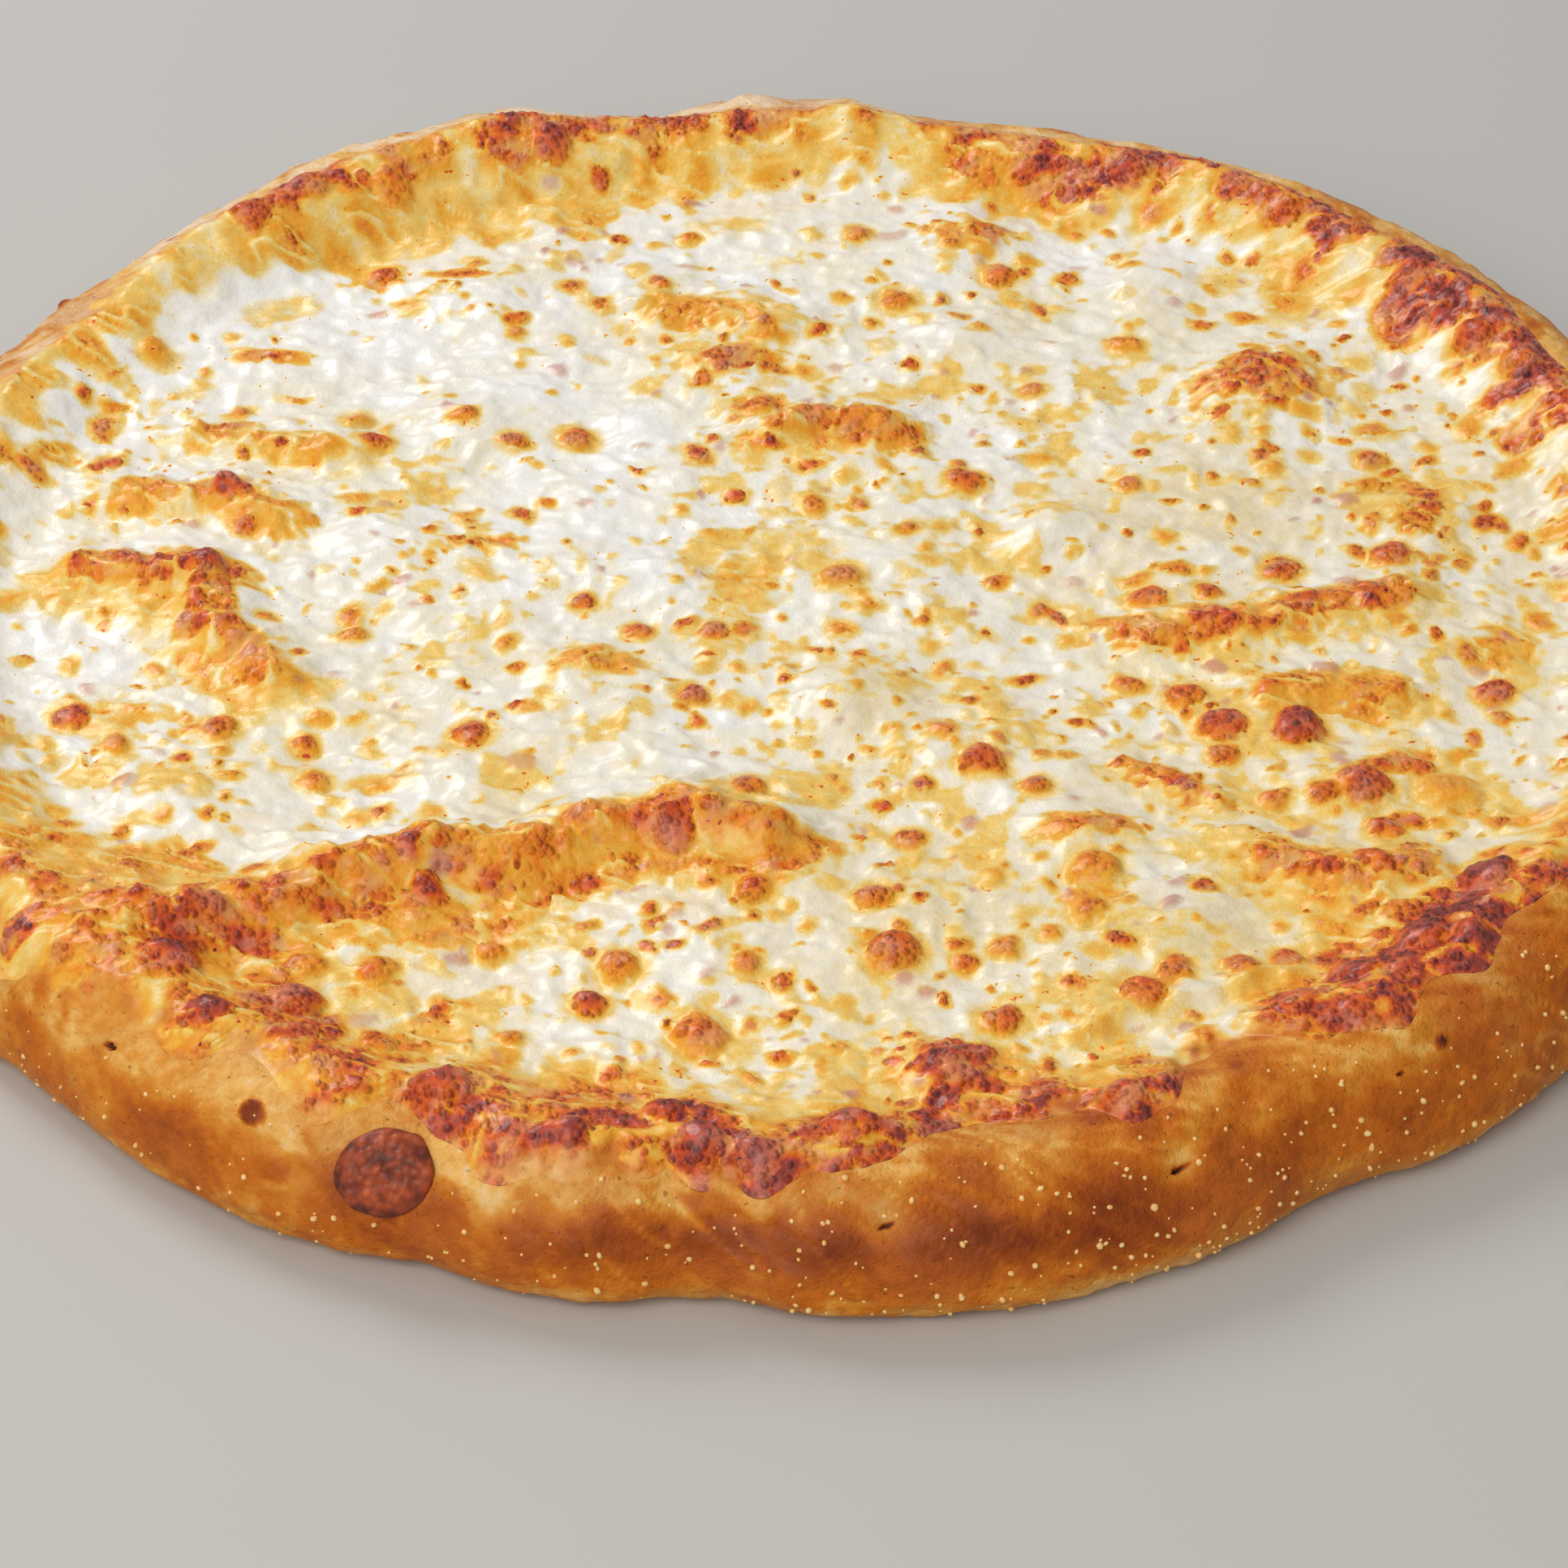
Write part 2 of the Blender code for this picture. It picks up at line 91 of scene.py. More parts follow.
# Where the cheese stops on the rim: angle, radius
CHEESE_EDGE = (
    (-180, 165), (-168, 163), (-158, 168), (-149.5, 164.5), (-140, 171), (-131.5, 171), (-127.5, 166),
    (-122.5, 164.5), (-117, 171.5), (-113.5, 162.5), (-110, 166.5), (-105.5, 171.5), (-101, 166),
    (-97.5, 164), (-94.8, 168.5), (-93, 167), (-91.3, 169.5), (-88.5, 166), (-84.5, 164.5), (-81, 156.5),
    (-78, 154.5), (-75, 157.5), (-72, 158), (-70, 165), (-67.5, 163.5), (-64, 153.5), (-60.5, 151.5),
    (-56.5, 161), (-51.5, 166.5), (-48, 162), (-45, 166.5), (-40.5, 161), (-35.5, 162.5), (-28, 167),
    (-19, 163), (-8, 166), (3, 162), (14, 166), (24, 163), (35, 167), (46, 164), (58, 166), (70, 163),
    (82, 165), (92, 163), (103, 166), (114, 168), (124, 166), (136, 168), (148, 164), (160, 166),
    (170, 163),
)

# Cheese levels
CHEESE_Z = 19.0
SKIN = 1.6
EDGE_LIFT = 0.05
SKIN_REACH = 6.0
GAP = 0.35
BLEND = 2.0
SWELL = 2.0
SWELL_SIZE = 34.0
RIPPLE = 1.0
RIPPLE_SIZE = 13.0

# Long folds of cheese: points along the top, width, height, toast on the top, toast on the face below
FOLDS = (
    (((-118, -106), (-100, -100), (-88, -95), (-80, -87), (-65, -83), (-45, -80), (-30, -73),
      (-18, -71), (-4, -74)), 7, 6, 0.51, 0.52),
    (((-130, 6), (-118, 3), (-108, 3), (-106, -10), (-94, -26)), 7, 4.5, 0.62, 0.34),
    (((-124, 31), (-106, 29), (-96, 22)), 6, 3.5, 0.5, 0.2),
    (((66, -15), (82, -12), (96, -8), (112, -4)), 7, 3.2, 0.6, 0.2),
    (((48, -127), (58, -122), (68, -119), (80, -114), (92, -113)), 3.2, 2.2, 0.05, 0.3),
    (((-2, 51), (8, 56), (20, 53)), 5, 3.5, 0.56, 0.42),
    (((-24, 96), (-12, 94), (-4, 88)), 7, 3, 0.5, 0.2),
    (((-112, 52), (-98, 49), (-86, 46)), 6, 2.6, 0.42, 0.2),
    (((60, -52), (68, -58), (76, -64)), 3, 2, 0.62, 0.3),
    (((88, -33), (100, -31), (110, -33)), 5, 2, 0.5, 0.3),
    (((84, -80), (97, -87), (108, -84)), 6, 2.8, 0.62, 0.35),
    (((-97, -134), (-88, -143), (-76, -148)), 4, 1.2, 0.45, 0.2),
)

# Smooth swellings: x, y, reach, height
HILLS = (
    (10, -32, 12, 4), (50, 18, 11, 4.5), (92, 67, 16, 5.5), (26, -137, 9, 4.5), (130, 86, 8, 4),
    (-15, 76, 12, 2.5), (33, 84, 11, 2.2), (38, 122, 12, 3), (-35, -26, 14, 2.4), (-58, -56, 13, 2.2),
    (118, 24, 11, 2.6), (-62, 58, 13, 2), (-64, 100, 13, 2.2), (68, -97, 13, 1.8), (52, -72, 10, 2.4),
    (-22, 4, 14, 2.6), (-112, -62, 13, 2.6), (100, -58, 13, 2.6), (6, 122, 13, 2.2), (-78, 18, 13, 2),
    (74, 108, 12, 2.2), (-46, 130, 11, 2), (-12, -104, 11, 1.6),
    (-114, -96, 20, 3.4), (-130, -82, 16, 2.4), (-92, -118, 14, 1.8), (110, -92, 14, 2.2),
)

# Large toasted blisters: x, y, radius, toast
BLISTERS = (
    (-82, -109, 3.8, 0.6), (-70, -110, 4.2, 0.6), (-83, -120, 4.2, 0.86), (-69, -130, 3.8, 0.66),
    (-47, -127, 2.8, 0.6), (-34, -118, 3.4, 0.86), (-29, -109, 3.8, 0.62), (-51, -104, 2.8, 0.6),
    (-15, -127, 5.1, 0.66), (-6, -89, 3.8, 0.66), (-7, -109, 2.8, 0.6), (18, -106, 4.9, 0.72),
    (15, -91, 3.9, 0.68), (37, -104, 2.9, 0.6), (35, -85, 2.8, 0.45), (21, -73, 2.9, 0.66),
    (53, -84, 4.7, 0.56), (52, -95, 3.9, 0.58), (60, -117, 4.7, 0.72), (66, -111, 3.4, 0.7),
    (36, -124, 4.2, 0.68), (77, -110, 3.4, 0.7), (85, -108, 3.4, 0.72), (105, -72, 3.6, 0.74),
    (102, -84, 3.6, 0.7), (102, -61, 4.9, 0.8), (95, -63, 2.8, 0.7), (117, -61, 6, 0.5),
    (78, -42, 4.2, 0.84), (78, -50, 2.9, 0.7), (86, -63, 3.1, 0.6), (92, -43, 4.9, 0.9),
    (121, -90, 5.1, 0.98), (128, -32, 3.4, 0.76), (35, -53, 4.1, 0.72), (44, -60, 3.1, 0.66),
    (28, -43, 2.8, 0.6), (62, -28, 2.8, 0.62), (72, -32, 4.2, 0.66), (-7, -60, 3.4, 0.66),
    (-17, -32, 2.9, 0.8), (-57, -44, 3.9, 0.78), (-84, -56, 2.8, 0.6), (-87, -45, 2.9, 0.6),
    (-102, -41, 3.8, 0.66), (-120, -46, 2.9, 0.6), (-129, -37, 3.6, 0.78), (-108, 3, 4.2, 0.86),
    (-105, 31, 3.9, 0.86), (-80, -12, 2.8, 0.6), (-27, -12, 2.8, 0.66), (-13, -12, 2.8, 0.7),
    (10, 5, 3.9, 0.6), (67, -3, 3.9, 0.72), (78, -1, 3.1, 0.7), (92, 7, 3.9, 0.74), (113, 10, 4.1, 0.76),
    (5, 28, 2.8, 0.6), (34, 36, 3.6, 0.76), (65, 34, 2.8, 0.6), (93, 39, 2.8, 0.5), (112, 43, 2.9, 0.66),
    (-5, 60, 4.2, 0.6), (-40, 52, 3.4, 0.64), (-52, 50, 2.8, 0.68), (-62, 56, 2.8, 0.66),
    (-78, 49, 2.9, 0.7), (-83, 58, 3.2, 0.5), (-123, 78, 3.4, 0.5), (-80, 110, 2.9, 0.8),
    (-25, 104, 2.8, 0.7), (15, 122, 2.9, 0.6), (22, 98, 4.1, 0.6), (43, 108, 4.2, 0.66), (48, 67, 2.8, 0.6),
    (67, 82, 3.6, 0.6), (-20, -76, 3.9, 0.84), (-62, -90, 3.6, 0.84), (-104, -113, 4.7, 0.94),
    (-96, -128, 3.9, 1), (-57, -147, 5.1, 0.9), (-36, -159, 3.9, 0.9), (-20, -152, 4, 0.86),
    (-14, -161, 4.2, 0.96), (-5, -163, 3.6, 0.92), (10, -156, 5.5, 0.9), (55, -149, 4.2, 0.76),
    (85, -124, 4.7, 0.72), (96, -114, 4.7, 0.8), (108, -107, 5.1, 0.95), (116, -110, 3.6, 0.84),
    (-107, 118, 4.2, 0.8), (-96, 128, 4.2, 0.66), (-79, 132, 4.7, 0.6),
    (-48, 148, 4.2, 0.88), (70, 138, 4.2, 0.85), (100, 120, 4.7, 0.7), (123, 96, 4.7, 0.8),
    (134, 75, 4.2, 0.84), (142, 65, 4.1, 0.7),
)
BLISTER_RISE = 0.45

# Toasted patches: x, y, half length, half width, turn, toast
PATCHES = (
    (-112, -109, 22, 13, 40, 0.42), (-104, -115, 8, 5, 35, 0.76), (-98, -128, 6, 5, 30, 0.86),
    (-131, -106, 5, 4, 40, 0.82), (-117, -120, 7, 4, 35, 0.64), (-88, -93, 10, 5, 25, 0.72),
    (-63, -85, 16, 5, 8, 0.6), (-22, -73, 12, 5, 10, 0.7), (-40, -157, 16, 8, 5, 0.66),
    (-57, -147, 7, 6, 0, 0.84), (-35, -160, 6, 5, 0, 0.86), (-14, -160, 6, 5, 80, 0.92),
    (-4, -167, 4.5, 4, 90, 0.9), (10, -156, 13, 7, 5, 0.82), (27, -137, 11, 9, 10, 0.88),
    (41, -149, 5, 4, 0, 0.92), (56, -153, 12, 5, 8, 0.7), (85, -124, 10, 7, 30, 0.7),
    (107, -106, 17, 8, 40, 0.76), (96, -115, 9, 6, 40, 0.86), (118, -112, 5, 4.5, 40, 0.8),
    (92, -84, 14, 7, 10, 0.6), (54, -72, 11, 5, 10, 0.58), (52, -90, 9, 8, 60, 0.46),
    (-108, 2, 14, 7, 0, 0.64), (-106, 4, 8, 4, 0, 0.82), (-100, -22, 8, 13, 40, 0.52),
    (-105, 29, 12, 5, 0, 0.5), (-121, -36, 12, 8, 10, 0.46), (-35, -24, 13, 7, -10, 0.5),
    (-95, 48, 10, 5, 10, 0.5), (-108, 54, 8, 2.5, 10, 0.62), (-15, 93, 13, 7, 0, 0.56),
    (-12, 76, 14, 7, 0, 0.64), (-5, 60, 10, 5, 20, 0.6), (10, 53, 14, 6, 8, 0.56),
    (92, 68, 17, 13, 20, 0.66), (94, 70, 10, 7, 20, 0.78), (120, 28, 14, 9, 70, 0.62),
    (115, -3, 10, 5, 10, 0.5), (88, -12, 20, 6, 12, 0.58), (104, -36, 12, 8, 0, 0.5),
    (110, -53, 14, 4, 15, 0.56), (117, -62, 9, 6, 20, 0.42), (40, 122, 12, 7, 10, 0.56),
    (-8, 4, 13, 9, 60, 0.42), (-57, 16, 9, 4, 0, 0.6), (-130, 84, 10, 6, 30, 0.5),
    (-72, -57, 9, 4, 10, 0.4), (-110, -58, 9, 7, 0, 0.36), (-140, 43, 10, 8, 60, 0.5),
    (-64, 108, 10, 3, -8, 0.56), (-102, 80, 9, 3, -5, 0.6), (-70, -142, 12, 4, 20, 0.66),
    (-84, -138, 9, 4, 30, 0.6), (-60, -120, 7, 2.5, 45, 0.66), (50, -6, 3, 9, 40, 0.76),
    (68, -58, 10, 2.5, -38, 0.66), (132, -20, 8, 12, 10, 0.5), (47, -141, 10, 4, 10, 0.3),
    (0, 14, 12, 9, 0, 0.34), (-82, 108, 6, 4, 0, 0.66), (60, -100, 12, 10, 0, 0.3),
    (-70, -116, 12, 8, 0, 0.32), (102, 98, 11, 9, 45, 0.33), (88, 106, 8, 6, 0, 0.3),
    (-44, -88, 22, 7, 12, 0.46), (-84, -102, 12, 6, 25, 0.38), (-10, 128, 12, 6, 0, 0.32),
    (-100, 96, 12, 6, 40, 0.3), (-25, -162, 5.5, 4.5, 0, 0.86), (-30, -158, 6, 5, 0, 0.76),
    (-57, -98, 24, 9, 0, 0.54), (-46, -163, 7, 5, 0, 0.66), (-75, -148, 11, 3, 22, 0.78),
    (-84, -139, 9, 5, 30, 0.5),
)

# Toasted band along the rim: angle, radius where yellow begins, radius where brown begins, toast on the crest
RIM_TOAST = (
    (-180, 146, 156, 0.4), (-165, 146, 156, 0.44), (-155, 143, 154, 0.5), (-147, 136, 144, 0.5),
    (-140, 126, 134, 0.46), (-133, 122, 131, 0.48), (-125, 130, 138, 0.62), (-118, 132, 142, 0.56),
    (-112, 136, 145, 0.68), (-105, 133, 143, 0.66), (-97, 136, 145, 0.72), (-90, 137, 146, 0.76),
    (-84, 134, 143, 0.77), (-77, 131, 139, 0.73), (-70, 138, 146, 0.6), (-65, 142, 148, 0.62),
    (-60, 140, 147, 0.62), (-55, 132, 142, 0.66), (-48, 127, 137, 0.74), (-42, 130, 136, 0.8),
    (-35, 140, 147, 0.76), (-28, 141, 148, 0.62), (-12, 148, 154, 0.56), (0, 143, 148, 0.6),
    (10, 144, 149, 0.62), (20, 142, 147, 0.76), (27, 144, 149, 0.8), (36, 143, 148, 0.86),
    (43, 134, 150, 0.74), (50, 138, 150, 0.75), (58, 142, 149, 0.73), (66, 137, 144, 0.76),
    (75, 137, 142, 0.64), (83, 145, 153, 0.54), (90, 140, 151, 0.54), (97, 138, 150, 0.68),
    (103, 137, 150, 0.66), (110, 131, 147, 0.68), (118, 137, 152, 0.62), (125, 138, 155, 0.66),
    (133, 147, 156, 0.66), (142, 146, 157, 0.54), (150, 150, 158, 0.52), (165, 150, 158, 0.46),
)

# Toasted drops at the edge of the cheese, which give it round lobes: x, y, radius
EDGE_LOBES = (
    (-14, -161, 5.5), (-4, -165, 4.6), (10, -158, 7.5), (-35, -161, 6), (-24, -161, 5), (-46, -159, 7),
    (-98, -130, 7.5), (-131, -107, 6),
)

# Small blisters: how many, least radius, most added to it, radius of the disc they lie in, rosy share
SMALL_BLISTERS = 1450
SMALL_LEAST = 0.6
SMALL_RANGE = 1.7
SMALL_REACH = 150
ROSY_SHARE = 0.15

# Most toast, share of a large blister's radius that rises, and height that counts as on a blister
MOST_TOAST = 0.92
CORE_SHARE = 0.95
DOME_EDGE = 0.3

# Smooth noises that roughen what lies on the cheese: size, seed
WOBBLES = ((8.0, 30), (4.2, 31), (1.9, 32))
NOISE_CELLS = 256
NOISE_SHIFT = (71.3, 37.7)
PEBBLE_SHIFT = (90.1, 55.9)

# Wander of the cheese's edge, and the half angle in radians within which a lobe is looked for
EDGE_RADIUS = 165
EDGE_WANDER = 0.7
EDGE_WANDER_SIZE = 3.1
LOBE_ASIDE = 0.2

# Bare dough: usual and least brownness, radius at which its wall is measured, size of its lumps
BAKE = 0.44
LEAST_BROWN = 0.2
WALL_RADIUS = 175
DOUGH_LUMP = 16

# Pale rings round two pores: angle, share of the way up the wall, how pale, reach
PALE_RINGS = ((-84.8, 0.512, 0.34, 4.0), (-68.4, 0.541, 0.25, 4.0))

# Crust mesh: points round it, rows up its foot, wall and inner slope, share past the cheese's edge
# where relief ends, brownness of its flat faces
CRUST_SIDES = 1080
FOOT_ROWS = 10
WALL_ROWS = 38
SLOPE_ROWS = 8
COVERED = 0.02
FOOT_BROWN = 0.3

# Cheese mesh: rings of its top, their radius before the edge's lobes, how late those begin, reach and
# depth of the lip, sides and rings of the underside
CHEESE_RINGS = 216
ROUND_RADIUS = 166.0
LOBE_POWER = 10
LIP_OUT = 0.1
LIP_DROP = 0.9
UNDER_SIDES = 180
UNDER_RINGS = 5

# Burnt drop: place on the wall, radius, rise, rings and sides of its mesh, toast and lift of its underside
DROP_ANGLE = -112.3
DROP_UP = 0.478
DROP_RADIUS = 8.1
DROP_RISE = 2.3
DROP_RINGS = 26
DROP_SIDES = 96
DROP_TOAST = 0.9
DROP_SEAT = 0.05

# Cornmeal: how many grains, least radius, most added to it, where they lie thickest as angle, width
# and share, and what stays clear below the cheese and round the burnt drop
GRAINS = 600
GRAIN_LEAST = 0.26
GRAIN_RANGE = 0.4
GRAIN_THINNEST = 0.10
GRAIN_PLACES = ((-64, 34, 0.5), (-120, 26, 0.16))
CLEAR_EDGE = 0.08
CLEAR_ANGLE = 3.4
CLEAR_UP = 0.36

# Colours of the dough by how brown it is
DOUGH_COLOURS = (
    (0.0, (250, 222, 186)), (0.14, (240, 186, 100)), (0.26, (222, 144, 44)), (0.42, (202, 108, 12)),
    (0.6, (168, 78, 4)), (0.8, (128, 50, 4)), (1.0, (46, 18, 8)),
)
ROSY_DOUGH = (180, 90, 38)
FRECKLE = (96, 40, 14)

# Colours of the toasted cheese by its toast, and of the white cheese by how creamy it is
TOASTED_COLOURS = (
    (0.0, (250, 245, 230)), (0.14, (248, 234, 190)), (0.27, (246, 208, 110)), (0.40, (243, 174, 46)),
    (0.53, (240, 142, 22)), (0.66, (232, 108, 22)), (0.78, (208, 78, 32)), (0.89, (164, 64, 50)),
    (1.0, (104, 42, 42)),
)
CREAM_COLOURS = ((0.0, (251, 249, 244)), (0.5, (247, 238, 217)), (1.0, (236, 214, 158)))
# Rosy tint of some blisters, also laid on crisp toast as mauve flecks that are partly painted pinkish sheen
ROSY_AND_SHEEN_CHEESE = (206, 138, 122)
BURNT_COLOURS = ((0.2, (222, 118, 62)), (0.5, (176, 78, 40)), (0.8, (120, 48, 28)), (1.0, (72, 30, 22)))
CORNMEAL_COLOURS = ((0.3, (244, 188, 102)), (0.7, (252, 218, 150)))

# Floor and surrounding light, and lamps: name, place and width in metres, watts, colour
FLOOR_REACH = 6.0
FLOOR_DROP = 0.0003
FLOOR_COLOUR = (196, 194, 190)
WORLD_COLOUR = (1.0, 0.99, 0.97, 1.0)
WORLD_STRENGTH = 0.375
LAMPS = (
    ("key", (-0.75, 0.95, 1.15), 0.8, 11.6, (0.98, 0.98, 1.0)),
    ("fill", (-0.5, -1.05, 1.05), 1.2, 11.4, (1.0, 0.97, 0.92)),
)

# Camera fitted to the outline, in millimetres and degrees, and its range in metres
CAMERA_PLACE = (-0.55, -873.27, 644.53)
CAMERA_AIM = (-0.55, -33.0, 0.0)
CAMERA_ROLL = -0.19
CAMERA_LENS = 133.04
SENSOR = 36.0
CAMERA_RANGE = 20.0


def linear(r, g, b):
    """Colour from 0 to 255 as a screen shows it, as linear red, green, blue and alpha."""
    out = []
    for value in (r, g, b):
        c = value / 255
        out.append(c / 12.92 if c <= 0.04045 else ((c + 0.055) / 1.055) ** 2.4)
    return (*out, 1.0)


def ease(t):
    t = np.clip(t, 0.0, 1.0)
    return t * t * (3 - 2 * t)


def bell(distance, width):
    return np.exp(-((distance / width) ** 2))


def turn(a, b):
    return (a - b + 180) % 360 - 180


def angles_round(n):
    return np.arange(n) * 360 / n - 180


def polar(x, y):
    return np.hypot(x, y), np.degrees(np.arctan2(y, x))


def at_angle(table, deg, column):
    """Value of a table at an angle, eased between its entries all the way round."""
    angles = np.array([row[0] for row in table] + [table[0][0] + 360], float)
    values = np.array([row[column] for row in table] + [table[0][column]], float)
    deg = (np.asarray(deg, float) + 180) % 360 - 180
    k = np.clip(np.searchsorted(angles, deg, side="right") - 1, 0, len(angles) - 2)
    return values[k] + (values[k + 1] - values[k]) * ease((deg - angles[k]) / (angles[k + 1] - angles[k]))


def smooth_noise(x, y, size, seed):
    """Smooth random field from -1 to 1 with lumps of the given size."""
    table = np.random.default_rng(seed).uniform(-1, 1, (NOISE_CELLS, NOISE_CELLS))
    u, v = x / size + NOISE_SHIFT[0], y / size + NOISE_SHIFT[1]
    i, j = np.floor(u).astype(int), np.floor(v).astype(int)
    fu, fv = ease(u - i), ease(v - j)
    i, j, i1, j1 = (cell % NOISE_CELLS for cell in (i, j, i + 1, j + 1))
    low = table[i, j] * (1 - fu) + table[i1, j] * fu
    high = table[i, j1] * (1 - fu) + table[i1, j1] * fu
    return low * (1 - fv) + high * fv


def pebbles(x, y, size, seed):
    """Rounded grains packed side by side: 1 in the middle of a grain, 0 between grains."""
    jitter = np.random.default_rng(seed).uniform(0.1, 0.9, (NOISE_CELLS, NOISE_CELLS, 2))
    u, v = x / size + PEBBLE_SHIFT[0], y / size + PEBBLE_SHIFT[1]
    i, j = np.floor(u).astype(int), np.floor(v).astype(int)
    best = np.full(np.shape(u), 9.0)
    for di in (-1, 0, 1):
        for dj in (-1, 0, 1):
            p = jitter[(i + di) % NOISE_CELLS, (j + dj) % NOISE_CELLS]
            best = np.minimum(best, np.hypot(i + di + p[..., 0] - u, j + dj + p[..., 1] - v))
    return np.clip(1 - best / 0.75, 0, 1)


def lump_field(x, y, size, offset):
    """Smooth noise at places, the same one that shapes the solids."""
    return np.array([noise.noise(Vector((px, py, offset)) / size) for px, py in zip(x, y)])


def rim(deg):
    """Outer radius and crest height of the crust."""
    out = sum(bell(turn(deg, a), w) * o for a, w, o, _ in LOBES)
    up = sum(bell(turn(deg, a), w) * u for a, w, _, u in LOBES)
    return RADIUS + out, CREST_Z + up


def cheese_edge(deg):
    """Radius at which the cheese stops, with round lobes and a small wander of its own."""
    around = np.radians(deg) * EDGE_RADIUS
    wander = EDGE_WANDER * smooth_noise(around, around * 0, EDGE_WANDER_SIZE, 11)
    edge = at_angle(CHEESE_EDGE, deg, 1) + wander
    for x, y, radius in EDGE_LOBES:
        middle, aside = math.hypot(x, y), np.radians(turn(deg, math.degrees(math.atan2(y, x))))
        reach = radius ** 2 - (middle * np.sin(aside)) ** 2
        lobe = middle * np.cos(aside) + np.sqrt(np.maximum(reach, 0))
        edge = np.where((reach > 0) & (np.abs(aside) < LOBE_ASIDE), np.maximum(edge, lobe), edge)
    return edge


def section(deg, share):
    """Radius and height of the crust's section: -1 foot, 0 widest, 1 crest, 2 well."""
    radius, crest = rim(deg)
    share = share + 0 * radius
    turned = np.radians(90 * np.minimum(share, 1))
    r = radius - CREST_INSET * (1 - np.cos(turned))
    z = WIDEST_Z + (crest - WIDEST_Z) * np.sin(turned)
    low = share < 0
    r = np.where(low, radius - FOOT_ROUND * (1 - np.cos(turned)), r)
    z = np.where(low, WIDEST_Z * (1 + np.sin(turned)), z)
    inner = share > 1
    r = np.where(inner, radius - CREST_INSET - (share - 1) * (WELL_INSET - CREST_INSET), r)
    z = np.where(inner, WELL_Z + (crest - WELL_Z) * ease(2 - share), z)
    return r, z


def ring_points(deg, r, z):
    return np.stack([r * np.cos(np.radians(deg)), r * np.sin(np.radians(deg)), z], -1)


def share_at(deg, r):
    """Place on the crust's section at a radius, as a share of the way up the wall or down the slope."""
    inset = rim(deg)[0] - r
    wall = np.degrees(np.arccos(1 - np.clip(inset, 0, CREST_INSET) / CREST_INSET)) / 90
    slope = np.minimum(2.0, 1 + (inset - CREST_INSET) / (WELL_INSET - CREST_INSET))
    return np.where(inset < CREST_INSET, wall, slope)


def crust_height(deg, r):
    return section(deg, share_at(deg, r))[1]


def rim_point(deg, share, lift=0.0):
    """Points on the crust's section, lifted off it along its normal."""
    r, z = section(deg, share)
    r_next, z_next = section(deg, share + 0.01)
    along = np.hypot(r_next - r, z_next - z)
    return ring_points(deg, r + lift * (z_next - z) / along, z - lift * (r_next - r) / along)


def segment_distance(x, y, points):
    """Distance to a line of points, and whether a place lies on its front side."""
    best = np.full(x.shape, 1e9)
    front = np.zeros(x.shape, bool)
    for (ax, ay), (bx, by) in zip(points, points[1:]):
        dx, dy = bx - ax, by - ay
        t = np.clip(((x - ax) * dx + (y - ay) * dy) / (dx * dx + dy * dy), 0, 1)
        away = np.hypot(x - ax - t * dx, y - ay - t * dy)
        nearer = away < best
        best = np.where(nearer, away, best)
        front = np.where(nearer, y < ay + t * dy, front)
    return best, front


def all_blisters():
    """Large blisters by place, and small ones scattered more thickly to the front and right."""
    rng = np.random.default_rng(SEED)
    found = [(x, y, CORE_SHARE * radius, tone, 1.0, 0.0, 0.0) for x, y, radius, tone in BLISTERS]
    while len(found) < len(BLISTERS) + SMALL_BLISTERS:
        r, a = SMALL_REACH * math.sqrt(rng.random()), rng.random() * 2 * math.pi
        x, y = r * math.cos(a), r * math.sin(a)
        thick = 0.45 + 0.5 * smooth_noise(np.array(x), np.array(y), 24.0, 21) + 0.0011 * (x - y)
        size = SMALL_LEAST + SMALL_RANGE * rng.random() ** 2
        tone = 0.24 + 0.5 * rng.random()
        rosy = 0.4 + 0.4 * rng.random() if rng.random() < ROSY_SHARE else 0.0
        long, lean = 1 + 0.9 * rng.random() ** 2, math.pi * rng.random()
        if rng.random() < thick and all(math.hypot(x - b[0], y - b[1]) > size + 0.9 * b[2] for b in found):
            found.append((x, y, size, tone, long, lean, rosy))
    return found


def wobbles(x, y):
    """Coarse, medium and small smooth noise, and a ragged mix, which roughen what lies on the cheese."""
    coarse, medium, small = (smooth_noise(x, y, size, seed) for size, seed in WOBBLES)
    return coarse, medium, small, 0.55 * medium + 0.45 * small


def hill_level(x, y):
    """Level of the melted cheese, with its smooth swellings."""
    level = CHEESE_Z + SWELL * lump_field(x, y, SWELL_SIZE, 5.0)
    for hx, hy, reach, height in HILLS:
        level += height * bell(np.hypot(x - hx, y - hy), 0.8 * reach)
    return level


def lay_folds(x, y, wobble, level):
    """Level with the long folds raised on it, and the toast of their tops and front faces."""
    coarse, medium, small, ragged = wobble
    toast = np.zeros(x.shape)
    for line, width, height, top_toast, face_toast in FOLDS:
        away, front = segment_distance(x, y, line)
        raised = bell(away, width * np.where(front, 0.75, 1.35))
        level = level + height * raised * (1 + 0.25 * medium + 0.15 * small)
        rough = away + 3.2 * ragged + 2.5 * coarse
        top = ease((width * 1.15 - rough) / (0.8 * width))
        face = np.where(front, ease((width * 2.5 - rough) / width), 0.0)
        top_toast = top_toast * (1 + 0.22 * medium) * top
        face_toast = face_toast * (1 + 0.4 * coarse + 0.3 * medium) * face
        toast = np.maximum(toast, np.maximum(top_toast, face_toast))
    return level, toast


